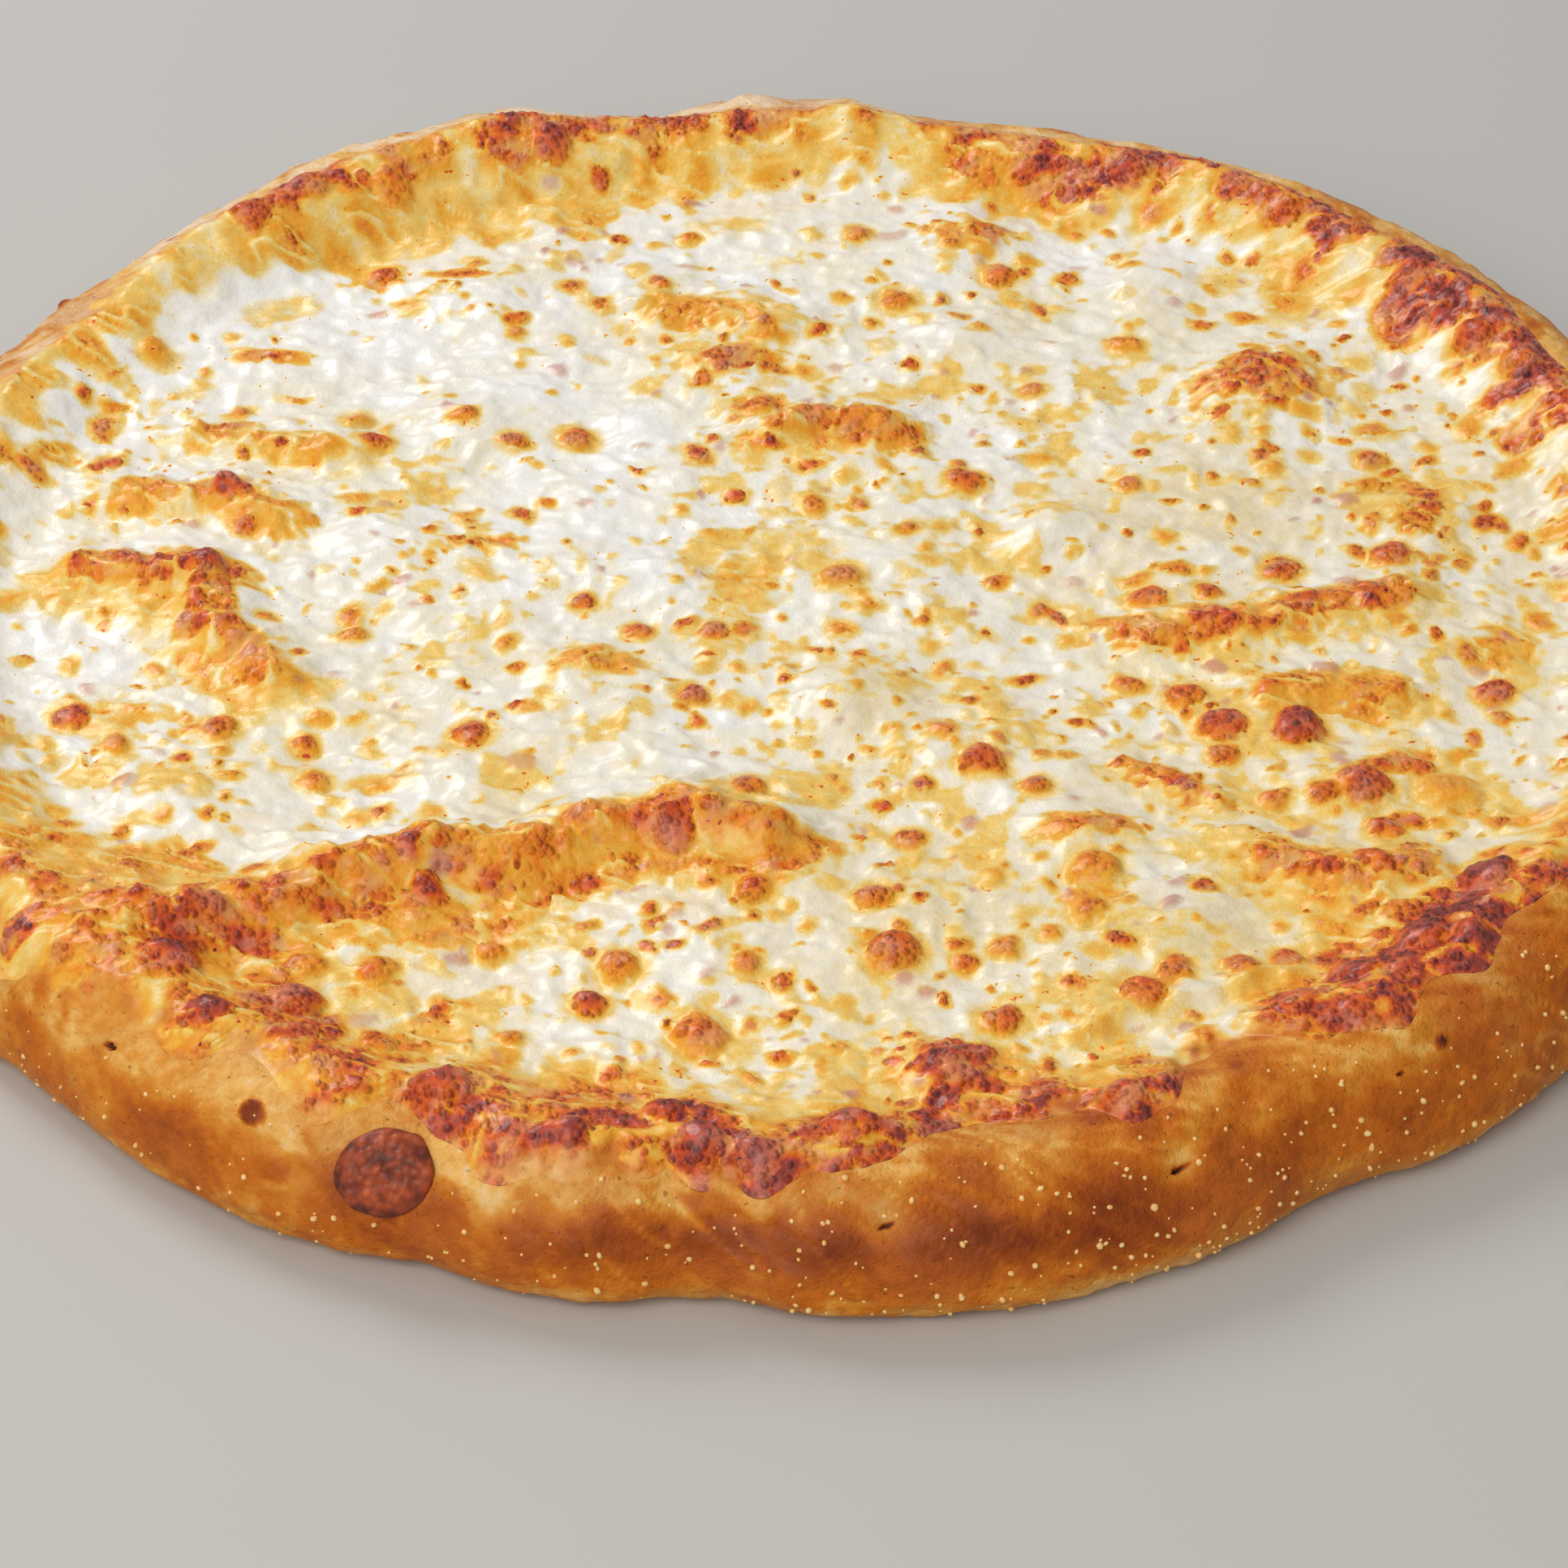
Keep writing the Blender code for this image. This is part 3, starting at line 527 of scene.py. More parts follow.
def patch_toast(x, y, wobble, toast):
    """Toast with the patches laid over it."""
    coarse, medium, small, ragged = wobble
    for px, py, long, wide, angle, tone in PATCHES:
        c, s = math.cos(math.radians(angle)), math.sin(math.radians(angle))
        u, v = ((x - px) * c + (y - py) * s) / long, ((y - py) * c - (x - px) * s) / wide
        reach = np.hypot(u, v) + 0.65 * ragged + 0.25 * coarse
        tone = tone * (1 + 0.2 * medium + 0.15 * small)
        toast = np.maximum(toast, tone * ease((1.1 - reach) / 0.75))
    return toast


def rim_toast(x, y, wobble):
    """Toast of the band along the rim: yellow on its inner slope, brown on its crest."""
    coarse, medium, small, ragged = wobble
    r, deg = polar(x, y)
    streaks = smooth_noise(np.radians(deg) * 160 + 0.8 * small, r / 3.5, 4.6, 43)
    wander = 4.0 * coarse + 2.0 * medium + 4.5 * streaks
    yellow = ease((r - at_angle(RIM_TOAST, deg, 1) + 5.0 * bell(turn(deg, 105), 40) + wander) / 8)
    brown = ease((r - at_angle(RIM_TOAST, deg, 2) + 1.2 * wander) / 11)
    crest = at_angle(RIM_TOAST, deg, 3) * (1 + 0.18 * smooth_noise(x, y, 7.0, 42) + 0.14 * ragged)
    crest = crest + 0.12 * medium
    slope = 0.36 * (1 + 0.25 * medium + 0.3 * streaks)
    return slope * yellow + (crest - slope) * brown


def mottled_toast(x, y, wobble):
    """Faint yellow mottling of the white cheese, stronger to the front and right."""
    coarse, medium, small, _ = wobble
    mottle = 0.5 * coarse + 0.35 * medium + 0.3 * small + 0.35 * smooth_noise(x, y, 21.0, 33)
    mottle = mottle + 0.0012 * (x - y)
    return 0.32 * ease((mottle - 0.08) / 0.5)


def raise_blisters(x, y, small, toast):
    """Height and rosiness of the blisters. Their brown cores and yellow halos are laid over the toast."""
    dome, rosy = np.zeros(x.shape), np.zeros(x.shape)
    bent_x = x + 0.9 * smooth_noise(x, y, 3.6, 34) + 0.3 * small
    bent_y = y + 0.9 * smooth_noise(x, y, 3.6, 35)
    for bx, by, radius, tone, long, lean, blush in all_blisters():
        reach = 2.6 * radius * long
        near = (np.abs(x - bx) < reach) & (np.abs(y - by) < reach)
        u, v = bent_x[near] - bx, bent_y[near] - by
        c, s = math.cos(lean), math.sin(lean)
        away = np.hypot((u * c + v * s) / long, v * c - u * s) / radius
        rise = BLISTER_RISE * (0.6 if radius < 2.4 else 1.4 if tone > 0.83 else 1.0)
        dome[near] = np.maximum(dome[near], rise * radius * np.sqrt(np.clip(1 - away ** 2, 0, 1)))
        core = tone * (1 - 0.3 * np.minimum(away, 1) ** 2) * ease((1.5 - away) / 0.6)
        halo = (0.2 + 0.22 * tone) * ease((2.35 - away) / 1.4)
        if blush:
            core, halo = 0.3 * core, 0.3 * halo
            rosy[near] = np.maximum(rosy[near], blush * ease((1.2 - away) / 0.6))
        toast[near] = np.maximum(toast[near], np.maximum(core, halo))
    return dome, rosy


def bare_dough(inward, toast, wobble):
    """Share of dough that shows through the thin edge of the cheese, where it isn't toasted."""
    coarse, medium, small, _ = wobble
    ragged_edge = 4.2 + 3.0 * medium + 2.5 * coarse + 1.5 * small - inward
    return ease(ragged_edge / 4.0) * (1 - ease((toast - 0.64) / 0.12))


def pale_strands(x, y, toast, wobble):
    """Strands of paler cheese drawn over the toasted parts, but not over the darkest."""
    coarse, medium, _, _ = wobble
    strand = 1 - 2.2 * np.abs(smooth_noise(0.5 * x + 1.1 * medium, y + 0.25 * x + 1.1 * coarse, 4.4, 56))
    return ease((strand - 0.62) / 0.3) * ease((toast - 0.28) / 0.15) * (1 - ease((toast - 0.8) / 0.1))


def pebbled_relief(x, y, wobble):
    """Height, browning and flecks of the pebbled surface of crisp cheese."""
    coarse, medium, small, ragged = wobble
    grain = pebbles(x + 0.9 * ragged, y + 0.9 * small, 2.1, 51)
    clump = pebbles(x + 1.5 * ragged, y, 5.2, 54)
    fleck = smooth_noise(0.5 * x + 0.3 * y + 1.2 * medium, y - 0.6 * x + 1.2 * coarse, 2.2, 55)
    browning = 0.13 * grain + 0.16 * clump - 0.15 + 0.08 * small + 0.2 * fleck
    return grain + 0.6 * clump - 0.45, browning, fleck


def soft_relief(x, y, wobble):
    """Height of the shreds and curds that show in soft cheese."""
    coarse, medium, small, _ = wobble
    shreds = 1 - 2 * np.abs(smooth_noise(x + 2.2 * coarse, 1.5 * y + 1.2 * medium, 6.0, 52))
    curds = smooth_noise(x + 1.5 * medium, y + 1.5 * coarse, 3.1, 53)
    return 0.45 * shreds + 0.38 * curds + 0.2 * small


def cheese_fields(x, y):
    """Height of the cheese, and its toast, creaminess, rosiness and share of bare dough, at places on it. The
    rosiness holds the rosy blister spots and, on crisp toast, mauve flecks that are partly painted pinkish
    sheen.
    """
    r, deg = polar(x, y)
    inward = cheese_edge(deg) - r
    inside = ease(inward / SKIN_REACH)
    wobble = wobbles(x, y)
    coarse, medium, small, _ = wobble
    skin = crust_height(deg, r) + EDGE_LIFT + (GAP + SKIN - EDGE_LIFT) * inside
    level, toast = lay_folds(x, y, wobble, hill_level(x, y))
    height = 0.5 * (level + skin + np.sqrt((level - skin) ** 2 + BLEND ** 2 * inside))
    height += RIPPLE * lump_field(x, y, RIPPLE_SIZE, 9.0) * inside

    toast = patch_toast(x, y, wobble, toast)
    toast = np.maximum(toast, rim_toast(x, y, wobble))
    toast = np.maximum(toast, mottled_toast(x, y, wobble))
    dome, rosy = raise_blisters(x, y, small, toast)
    height += dome * ease(inward / 2.5)

    dough = bare_dough(inward, toast, wobble)
    strand = pale_strands(x, y, toast, wobble) * ((dome < DOME_EDGE) * (1 - dough))
    toast *= 1 - 0.42 * strand
    height += 0.45 * strand * inside

    crisp = ease((toast - 0.42) / 0.22) * (1 - dough)
    rough = crisp * np.where(dome > DOME_EDGE, 0.5, 1.0)
    pebbled, browning, fleck = pebbled_relief(x, y, wobble)
    height += rough * pebbled * ease(inward / 2.0)
    height += (1 - crisp) * soft_relief(x, y, wobble) * inside * (dome < DOME_EDGE)
    toast = np.minimum(toast + rough * browning, MOST_TOAST)
    # Mauve flecks on the crisp toast: partly their own tint, partly painted pinkish sheen.
    rosy = np.maximum(rosy, 0.42 * crisp * ease((-0.1 - fleck) / 0.4))
    cream = 0.40 + 0.25 * smooth_noise(x, y, 22.0, 61) + 0.25 * coarse + 0.15 * small + 0.0016 * (x - y)
    return height, toast, cream, rosy, dough


def cheese_rings():
    """Points of the cheese as rings of 6, 12, 18 and so on, whose outer rings follow the lobed edge."""
    xs, ys, rings = [0.0], [0.0], [(0, 1)]
    start = 1
    for k in range(1, CHEESE_RINGS + 1):
        n, f = 6 * k, k / CHEESE_RINGS
        deg = angles_round(n)
        r = f * (ROUND_RADIUS + (cheese_edge(deg) - ROUND_RADIUS) * f ** LOBE_POWER)
        xs += list(r * np.cos(np.radians(deg)))
        ys += list(r * np.sin(np.radians(deg)))
        rings.append((start, n))
        start += n
    return np.array(xs), np.array(ys), rings


def zip_rings(first, second):
    """Triangles between two closed rings, given as (first point, how many), with any two counts."""
    (a, n), (b, m) = first, second
    faces, i, j = [], 0, 0
    while i < n or j < m:
        if j >= m or (i < n and (i + 1) * m <= (j + 1) * n):
            faces.append((a + i % n, b + j % m, a + (i + 1) % n))
            i += 1
        else:
            faces.append((a + i % n, b + j % m, b + (j + 1) % m))
            j += 1
    return faces


def fan(middle, start, n, up=True):
    """Triangles between a middle point and a closed ring of points."""
    pairs = [(start + i, start + (i + 1) % n) for i in range(n)]
    return [(middle, a, b) if up else (middle, b, a) for a, b in pairs]


def add_object(name, data):
    made = bpy.data.objects.new(name, data)
    bpy.context.scene.collection.objects.link(made)
    return made


def aim_from(thing, place, aim):
    thing.location = place
    thing.rotation_euler = (aim - place).to_track_quat("-Z", "Y").to_euler()


def make_piece(name, verts, faces, material, fields=None, sharp=None):
    """Smooth object from points in millimetres, with named values at them and maybe a sharp ring.

    The ring is given as (first point, how many).
    """
    mesh = bpy.data.meshes.new(name)
    mesh.from_pydata((np.asarray(verts) * MM).tolist(), [], faces)
    mesh.polygons.foreach_set("use_smooth", [True] * len(mesh.polygons))
    for key, values in (fields or {}).items():
        attribute = mesh.attributes.new(key, "FLOAT", "POINT")
        attribute.data.foreach_set("value", np.asarray(values, np.float32))
    mesh.materials.append(material)
    mesh.update()
    if sharp:
        ends = np.empty(2 * len(mesh.edges), np.int32)
        mesh.edges.foreach_get("vertices", ends)
        on_ring = ((ends >= sharp[0]) & (ends < sharp[0] + sharp[1])).reshape(-1, 2).all(axis=1)
        mesh.attributes.new("sharp_edge", "BOOLEAN", "EDGE").data.foreach_set("value", on_ring)
    return add_object(name, mesh)


def new_material(name):
    material = bpy.data.materials.new(name)
    material.use_nodes = True
    tree = material.node_tree
    return material, tree, tree.nodes["Principled BSDF"]


def node(tree, kind, **settings):
    """Shader node with its properties set."""
    made = tree.nodes.new(kind)
    for key, value in settings.items():
        setattr(made, key, value)
    return made


def set_numbers(made, numbers):
    for key, number in numbers.items():
        made.inputs[key].default_value = number


def value_of(tree, key):
    return node(tree, "ShaderNodeAttribute", attribute_name=key).outputs["Fac"]


def calc(tree, how, first, second):
    """Math node on two values, each a number or an output."""
    made = node(tree, "ShaderNodeMath", operation=how)
    for socket, value in zip(made.inputs, (first, second)):
        if isinstance(value, (int, float)):
            socket.default_value = value
        else:
            tree.links.new(value, socket)
    return made.outputs[0]


def plus_share(tree, value, extra, share):
    """Value with a share of another added."""
    return calc(tree, "ADD", value, calc(tree, "MULTIPLY", extra, share))


def centred(tree, value, middle=0.5):
    return calc(tree, "SUBTRACT", value, middle)


def spread(tree, value, low, high, to_low=0.0, to_high=1.0):
    """Smooth step of a value between two limits."""
    made = node(tree, "ShaderNodeMapRange", interpolation_type="SMOOTHSTEP")
    tree.links.new(value, made.inputs["Value"])
    set_numbers(made, {"From Min": low, "From Max": high, "To Min": to_low, "To Max": to_high})
    return made.outputs["Result"]


def texture(tree, kind, numbers):
    """Outputs of a texture over the object, by its own coordinates in metres."""
    made = node(tree, kind)
    set_numbers(made, numbers)
    tree.links.new(node(tree, "ShaderNodeTexCoord").outputs["Object"], made.inputs["Vector"])
    return made.outputs


def speckle(tree, scale, detail=2.0, rough=0.5):
    return texture(tree, "ShaderNodeTexNoise", {"Scale": scale, "Detail": detail, "Roughness": rough})["Fac"]


def bead(tree, scale):
    """Small rounded grains packed side by side, 1 in the middle of a grain."""
    distance = texture(tree, "ShaderNodeTexVoronoi", {"Scale": scale})["Distance"]
    return spread(tree, distance, 0.0, 0.7, 1.0, 0.0)


def ramp(tree, value, stops):
    made = node(tree, "ShaderNodeValToRGB")
    band = made.color_ramp
    while len(band.elements) < len(stops):
        band.elements.new(0.5)
    for element, (place, colour) in zip(band.elements, stops):
        element.position = place
        element.color = linear(*colour)
    tree.links.new(value, made.inputs["Fac"])
    return made.outputs["Color"]


def blend_colours(tree, factor, first, second):
    made = node(tree, "ShaderNodeMix", data_type="RGBA")
    for place, value in ((0, factor), (6, first), (7, second)):
        tree.links.new(value, made.inputs[place])
    return made.outputs[2]


def plain_colour(tree, colour):
    made = node(tree, "ShaderNodeRGB")
    made.outputs[0].default_value = linear(*colour)
    return made.outputs[0]


def dough_colour(tree, fine):
    """Colour of baked dough by how brown it is, a value that also carries painted highlights and painted
    light, with matt rosy stretches and small dark freckles.
    """
    brown = plus_share(tree, value_of(tree, "brown"), centred(tree, speckle(tree, 45, 3)), 0.4)
    brown = plus_share(tree, brown, centred(tree, fine), 0.3)
    colour = ramp(tree, brown, DOUGH_COLOURS)
    rosy = calc(tree, "MULTIPLY", spread(tree, speckle(tree, 38, 3), 0.5, 0.66), 0.34)
    colour = blend_colours(tree, rosy, colour, plain_colour(tree, ROSY_DOUGH))
    freckles = calc(tree, "MULTIPLY", spread(tree, speckle(tree, 820, 1), 0.70, 0.76), 0.5)
    return blend_colours(tree, freckles, colour, plain_colour(tree, FRECKLE))


def set_gloss(shader, specular, coat, coat_rough):
    set_numbers(shader, {"Specular IOR Level": specular, "Coat Weight": coat, "Coat Roughness": coat_rough})


def add_bump(tree, shader, layers):
    """Chain of bumps, each a value, its strength and its depth in metres."""
    normal = None
    for value, strength, depth in layers:
        made = node(tree, "ShaderNodeBump")
        set_numbers(made, {"Strength": strength, "Distance": depth})
        tree.links.new(value, made.inputs["Height"])
        if normal is not None:
            tree.links.new(normal, made.inputs["Normal"])
        normal = made.outputs["Normal"]
    tree.links.new(normal, shader.inputs["Normal"])


def cheese_material():
    """White to browned cheese by its toast, beaded where crisp, and dough where that shows through."""
    material, tree, shader = new_material("toasted_cheese")
    fine, grit = speckle(tree, 420, 4, 0.6), speckle(tree, 2200, 2)
    toast, dough = value_of(tree, "toast"), value_of(tree, "dough")
    crisp = calc(tree, "MULTIPLY", spread(tree, toast, 0.40, 0.62), calc(tree, "SUBTRACT", 1.0, dough))
    beads = calc(tree, "MULTIPLY", bead(tree, 620), crisp)
    uneven = spread(tree, toast, 0.15, 0.5, 0.16, 0.36)
    toast = calc(tree, "ADD", toast, calc(tree, "MULTIPLY", centred(tree, fine), uneven))
    toast = plus_share(tree, toast, centred(tree, grit), 0.14)
    toast = plus_share(tree, toast, centred(tree, beads, 0.3), 0.1)
    specks = spread(tree, speckle(tree, 640, 1), 0.70, 0.78)
    specks = calc(tree, "MULTIPLY", specks, spread(tree, speckle(tree, 60, 1), 0.45, 0.6))
    toast = plus_share(tree, toast, specks, 0.45)
    cream = plus_share(tree, value_of(tree, "cream"), centred(tree, fine), 0.5)
    browned, pale = ramp(tree, toast, TOASTED_COLOURS), ramp(tree, cream, CREAM_COLOURS)
    colour = blend_colours(tree, spread(tree, toast, 0.0, 0.28), pale, browned)
    # Rosy blend: rosy blister spots, and mauve flecks on crisp toast that are partly painted pinkish sheen.
    colour = blend_colours(tree, value_of(tree, "rosy"), colour, plain_colour(tree, ROSY_AND_SHEEN_CHEESE))
    colour = blend_colours(tree, dough, colour, dough_colour(tree, fine))
    tree.links.new(colour, shader.inputs["Base Color"])
    rough = plus_share(tree, spread(tree, toast, 0.2, 0.8, 0.32, 0.40), dough, 0.08)
    tree.links.new(plus_share(tree, rough, grit, 0.1), shader.inputs["Roughness"])
    set_gloss(shader, 0.3, 0.32, 0.15)
    add_bump(tree, shader, ((fine, 0.5, 0.0008), (beads, 0.9, 0.0011), (grit, 0.3, 0.0002)))
    return material


def crust_material():
    material, tree, shader = new_material("baked_crust")
    fine, grit = speckle(tree, 420, 4, 0.6), speckle(tree, 2200, 2)
    tree.links.new(dough_colour(tree, fine), shader.inputs["Base Color"])
    rough = calc(tree, "ADD", calc(tree, "MULTIPLY", grit, 0.1), 0.40)
    tree.links.new(rough, shader.inputs["Roughness"])
    set_gloss(shader, 0.2, 0.08, 0.2)
    add_bump(tree, shader, ((fine, 0.8, 0.0012), (grit, 0.5, 0.0003)))
    return material


def burnt_material():
    material, tree, shader = new_material("burnt_cheese")
    fine, grit = speckle(tree, 700, 3), speckle(tree, 2400, 2)
    toast = plus_share(tree, value_of(tree, "toast"), centred(tree, fine), 0.5)
    tree.links.new(ramp(tree, toast, BURNT_COLOURS), shader.inputs["Base Color"])
    shader.inputs["Roughness"].default_value = 0.46
    set_gloss(shader, 0.3, 0.08, 0.2)
    add_bump(tree, shader, ((fine, 0.4, 0.0006), (grit, 0.3, 0.0002)))
    return material


def grain_material():
    material, tree, shader = new_material("cornmeal")
    tree.links.new(ramp(tree, speckle(tree, 500, 1), CORNMEAL_COLOURS), shader.inputs["Base Color"])
    shader.inputs["Roughness"].default_value = 0.55
    return material


def creases(around, up):
    """Long slanting wrinkles of the dough, 1 along their tops."""
    return 1 - 2 * np.abs(smooth_noise(around + 0.9 * up, 0.4 * up - 0.25 * around, 5.5, 73))


def wall_offset(deg, up, angle, share, r=WALL_RADIUS):
    """Distances along the wall and up it from one place on it."""
    return np.radians(turn(deg, angle)) * r, up - share * WALL_LENGTH


def dough_relief(deg, share, edge_share):
    """Lumps, dents, wrinkles, burnt dots and pores of the dough, as height off the smooth section."""
    r = section(deg, share)[0]
    lumps = np.zeros(len(deg))
    for k in range(len(deg)):
        here = Vector((r[k] * math.radians(deg[k]) / DOUGH_LUMP, share[k] * 1.7, 3.1))
        lumps[k] = 0.7 * noise.noise(here) + 0.35 * noise.noise(here * 2.3)
    around, up = r * np.radians(deg), share * WALL_LENGTH
    for angle, height, reach, depth in DENTS:
        lumps -= depth * bell(np.hypot(*wall_offset(deg, up, angle, height, r)), reach)
    lumps *= ease((edge_share - share) / 0.2) * ease((share + 0.9) / 0.5)
    wrinkle = 0.24 * smooth_noise(around, up * 1.6, 4.2, 71) + 0.16 * smooth_noise(around, up, 2.1, 72)
    wrinkle += 0.3 * creases(around, up) * (0.6 + smooth_noise(around, up, 26.0, 74))
    lumps += wrinkle * ease((share + 0.95) / 0.3) * ease((edge_share - share) / 0.12)
    for angle, height, radius in BURNT_DOTS:
        away = np.hypot(*wall_offset(deg, up, angle, height, r)) / radius
        lumps += DOT_RISE * np.sqrt(np.clip(1 - away ** 2, 0, 1))
    for angle, height, wide, tall, depth in PORES:
        along, above = wall_offset(deg, up, angle, height, r)
        lumps -= depth * ease(1.5 - np.hypot(along / wide, above / tall))
    return lumps


def broad_brown_and_painted_light(deg, share):
    """Brownness in broad stretches: browner at the front and paler at the foot, with the upper wall painted
    paler at the front left, as painted light on the side the fill lamp lights, and at the back left, as
    painted glare from the key lamp.
    """
    brown = np.full(np.shape(share), BAKE)
    brown -= 0.05 * bell(turn(deg, -52), 16)
    # Paler upper wall at the front left: painted light on the side the fill lamp lights.
    brown -= 0.32 * bell(turn(deg, -122), 20) * ease((share - 0.25) / 0.4)
    brown += 0.38 * bell(share - 0.36, 0.24) * bell(turn(deg, -86), 27)
    brown -= 0.16 * ease((0.05 - share) / 0.5)
    # Paler upper wall at the back left: painted glare from the key lamp.
    brown -= 0.26 * bell(turn(deg, 120), 62) * ease((share - 0.45) / 0.4)
    return brown


def crust_brown_and_painted_light(deg, share):
    """How brown the dough is baked, from 0 to 1, with painted light laid in: painted highlights along the
    tops of its wrinkles and, from the broad stretches, painted light on the upper wall at the front left and
    back left.
    """
    to_cheese = (share_at(deg, cheese_edge(deg)) - share) * WALL_LENGTH
    around, up = np.radians(deg) * WALL_RADIUS, share * WALL_LENGTH
    brown = broad_brown_and_painted_light(deg, share)
    brown -= 0.2 * bell(to_cheese - 2, 7.0) * (1 - 0.8 * bell(turn(deg, -50), 24))
    spotted = 0.16 * smooth_noise(around, up, 5.0, 83) + 0.2 * smooth_noise(around + up, up, 2.6, 84)
    brown += bell(to_cheese, 7.0) * spotted
    # Paler along the tops of the wrinkles that the crust's relief raises: painted highlight.
    brown -= 0.13 * ease((creases(around, up) - 0.6) / 0.3) * (0.5 + smooth_noise(around, up, 26.0, 74))
    brown += 0.10 * smooth_noise(around, up, 11.0, 81) + 0.07 * smooth_noise(around, up, 4.0, 82)
    for angle, height, paler, reach in PALE_RINGS:
        brown -= paler * bell(np.hypot(*wall_offset(deg, up, angle, height)), reach)
    # The back left may go paler than the least brownness, for its painted glare.
    brown = np.maximum(brown, LEAST_BROWN - 0.16 * bell(turn(deg, 120), 62))
    for angle, height, radius in BURNT_DOTS:
        away = np.hypot(*wall_offset(deg, up, angle, height)) / radius
        brown += 0.62 * ease((1.15 - away) / 0.4)
    for angle, height, wide, tall, _ in PORES:
        along, above = wall_offset(deg, up, angle, height)
        brown += 1.2 * ease((1.25 - np.hypot(along / wide, above / tall)) / 0.7)
    return brown


def make_crust():
    """Closed crust: foot, wall with its relief, slope under the cheese, flat bottom and flat well."""
    n = CRUST_SIDES
    deg = angles_round(n)
    edge_share = share_at(deg, cheese_edge(deg))
    shares = [np.full(n, -1 + k / FOOT_ROWS) for k in range(FOOT_ROWS)]
    shares += [edge_share * k / WALL_ROWS for k in range(WALL_ROWS)]
    shares += [edge_share + (2 - edge_share) * k / SLOPE_ROWS for k in range(SLOPE_ROWS + 1)]
    verts, brown, faces = [], [], []
    for share in shares:
        relief = dough_relief(deg, share, edge_share)
        relief = np.where(share > edge_share + COVERED, 0.0, relief)
        verts.append(rim_point(deg, share, relief))
        brown.append(crust_brown_and_painted_light(deg, share))
    last = (len(shares) - 1) * n
    for a in range(0, last, n):
        faces += [(a + i, a + (i + 1) % n, a + n + (i + 1) % n, a + n + i) for i in range(n)]
    bottom = last + n
    faces += fan(bottom, 0, n, up=False) + fan(bottom + 1, last, n)
    points = np.concatenate(verts + [np.array([[0, 0, 0], [0, 0, WELL_Z]])])
    points[:n, 2] = 0.0
    # The brown field carries painted highlights and painted light as well as the bake.
    fields = {"brown": np.concatenate(brown + [np.full(2, FOOT_BROWN)])}
    return make_piece("baked_crust", points, faces, crust_material(), fields)


def cheese_lip(deg):
    """Two rings of points that turn the edge of the cheese down into the dough."""
    r = cheese_edge(deg) + LIP_OUT
    return [ring_points(deg, r, crust_height(deg, r) - drop) for drop in (0.0, LIP_DROP)]


def cheese_underside():
    """Rings of points from the cheese's edge down to the middle of the well, just over the dough."""
    deg = angles_round(UNDER_SIDES)
    edge_share = share_at(deg, cheese_edge(deg))
    shares = [edge_share + (2 - edge_share) * (k + 1) / UNDER_RINGS for k in range(UNDER_RINGS)]
    return [rim_point(deg, share) + np.array([0, 0, GAP]) for share in shares]


def make_cheese():
    """Top sheet with its edge turned down to the dough, closed below by a sheet just over the well."""
    x, y, rings = cheese_rings()
    height, toast, cream, rosy, dough = cheese_fields(x, y)
    start, n = rings[-1]
    top = len(x)
    lip, below = cheese_lip(angles_round(n)), cheese_underside()
    faces = []
    for first, second in zip(rings[1:], rings[2:]):
        faces += zip_rings(first, second)
    faces += fan(0, *rings[1])
    lower = [rings[-1], (top, n), (top + n, n)]
    lower += [(top + 2 * n + k * UNDER_SIDES, UNDER_SIDES) for k in range(UNDER_RINGS)]
    for first, second in zip(lower, lower[1:]):
        faces += zip_rings(first, second)
    last = lower[-1][0]
    faces += fan(last + UNDER_SIDES, last, UNDER_SIDES, up=False)
    points = np.concatenate([np.stack([x, y, height], -1), *lip, *below, [[0, 0, WELL_Z + GAP]]])
    spare = len(points) - top
    r, deg = polar(points[:, 0], points[:, 1])
    fields = {
        "toast": np.concatenate([toast, np.tile(toast[start:], 2) * 0.9, np.full(spare - 2 * n, 0.3)]),
        "cream": np.concatenate([cream, np.full(spare, 0.5)]),
        "rosy": np.concatenate([rosy, np.zeros(spare)]),
        "dough": np.concatenate([dough, np.ones(spare)]),
        "brown": crust_brown_and_painted_light(deg, share_at(deg, r)),
    }
    return make_piece("toasted_cheese", points, faces, cheese_material(), fields, (start, n))


def drop_relief(u, v, share):
    """Lift and toast of the burnt drop's pebbled top, at a share of the way to its edge."""
    fine = pebbles(u + 0.4 * smooth_noise(u, v, 2.0, 94), v, 1.7, 95)
    grain = 0.6 * pebbles(u, v, 3.4, 91) + 0.6 * fine
    dome = DROP_RISE * (0.72 + 0.1 * smooth_noise(u, v, 4, 92)) * np.sqrt(1.02 - share ** 2)
    lift = np.minimum(GAP + dome + 0.75 * grain * (1 - share ** 6), GAP + DROP_RISE * 1.25)
    return lift, 0.84 - 0.4 * grain + 0.18 * smooth_noise(u, v, 5, 93) + 0.12 * ease((share - 0.7) / 0.3)


